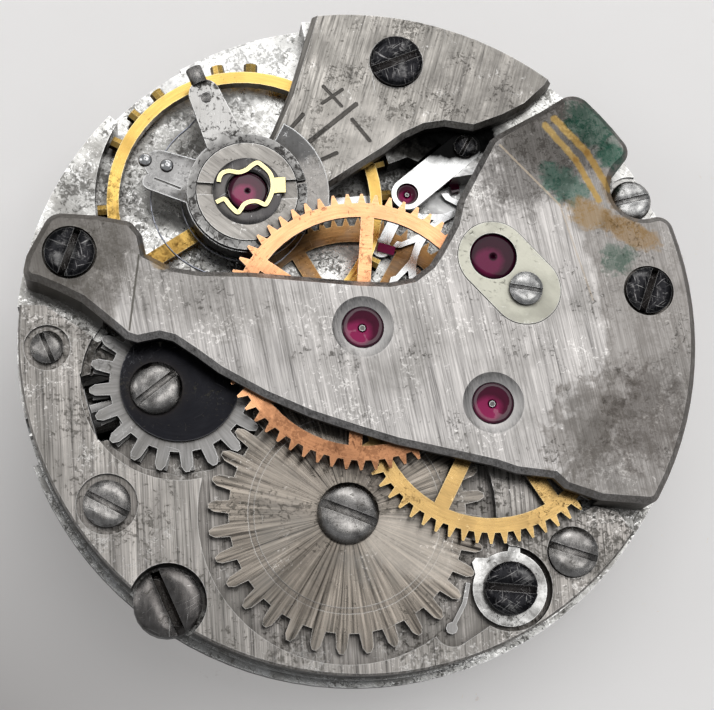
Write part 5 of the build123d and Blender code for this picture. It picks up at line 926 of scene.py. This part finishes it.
# the last coil opens out, keeps one radius between the curb pins and rises to the stud
def hairPath(spec):
    path = []
    steps = spec["coils"] * spec["stepsPerCoil"]
    for step in range(steps + 1):
        share = step / steps
        back = (1 - share) * spec["coils"] * 360
        radius = spec["inner"] + (spec["outer"] - spec["inner"]) * share
        if back < spec["heldFrom"]:
            rise = 1 - ease(back / spec["heldFrom"])
            radius = spec["held"] + (spec["studReach"] - spec["held"]) * rise
        elif back < spec["heldTo"]:
            radius = spec["held"]
        elif back < spec["open"]:
            fall = ease((back - spec["heldTo"]) / (spec["open"] - spec["heldTo"]))
            radius = spec["held"] + (radius - spec["held"]) * fall
        turn = math.radians(spec["studAngle"] + back)
        path.append((balanceAxis[0] + radius * math.cos(turn), balanceAxis[1] + radius * math.sin(turn)))
    return path


hair = bentStrip("hairCoils", hairPath(hairLook), hairLook["width"], hairLow, hairHigh - hairLow,
                 made["springBlue"])
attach(hair, "balance")
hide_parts("hairspring")
print("springs bent")

# pale paper floor, shaded towards one corner; glow is how bright the camera sees it by itself
floorLook = {"colour": (0.82, 0.80, 0.785), "cloudColour": (0.70, 0.68, 0.66),
             "dustColour": (0.45, 0.42, 0.38), "shade": (0.36, 0.345, 0.335), "shadePlace": (-12.0, -13.0),
             "shadeReach": (15.0, 3.0), "glow": 0.33, "roughness": 0.8, "height": -1.72, "half": 400.0}


def buildFloor(spec):
    mesh = bpy.data.meshes.new("floor")
    half = spec["half"] * mm
    level = spec["height"] * mm
    mesh.from_pydata([(-half, -half, level), (half, -half, level), (half, half, level), (-half, half, level)],
                     [], [(0, 1, 2, 3)])
    holder = bpy.data.objects.new("floor", mesh)
    scene.collection.objects.link(holder)
    material, bench, shader = newMaterial("paperFloor")
    cloud = bench.group("patches", {"Size": 2.5, "Amount": 0.5, "Softness": 0.5, "Seed": 9.0})
    dust = bench.group("grime", {"Size": 0.25, "Amount": 0.12, "Spread": 2.5, "Seed": 12.0})
    base = bench.blend(bench.times(cloud, 0.14), (*spec["colour"], 1), (*spec["cloudColour"], 1))
    base = bench.blend(bench.times(dust, 0.35), base, (*spec["dustColour"], 1))
    place = bench.add("ShaderNodeNewGeometry").outputs["Position"]
    flat = bench.vector("MULTIPLY", place, (1 / mm, 1 / mm, 0))
    far = bench.measure("DISTANCE", flat, (*spec["shadePlace"], 0))
    base = bench.blend(bench.remap(far, *spec["shadeReach"]), base, (*spec["shade"], 1))
    seen = bench.add("ShaderNodeLightPath").outputs["Is Camera Ray"]
    bench.feed(shader.inputs["Base Color"], base)
    bench.feed(shader.inputs["Emission Color"], base)
    bench.feed(shader.inputs["Emission Strength"], bench.times(seen, spec["glow"]))
    shader.inputs["Roughness"].default_value = spec["roughness"]
    mesh.materials.append(material)


buildFloor(floorLook)

print("scene made")
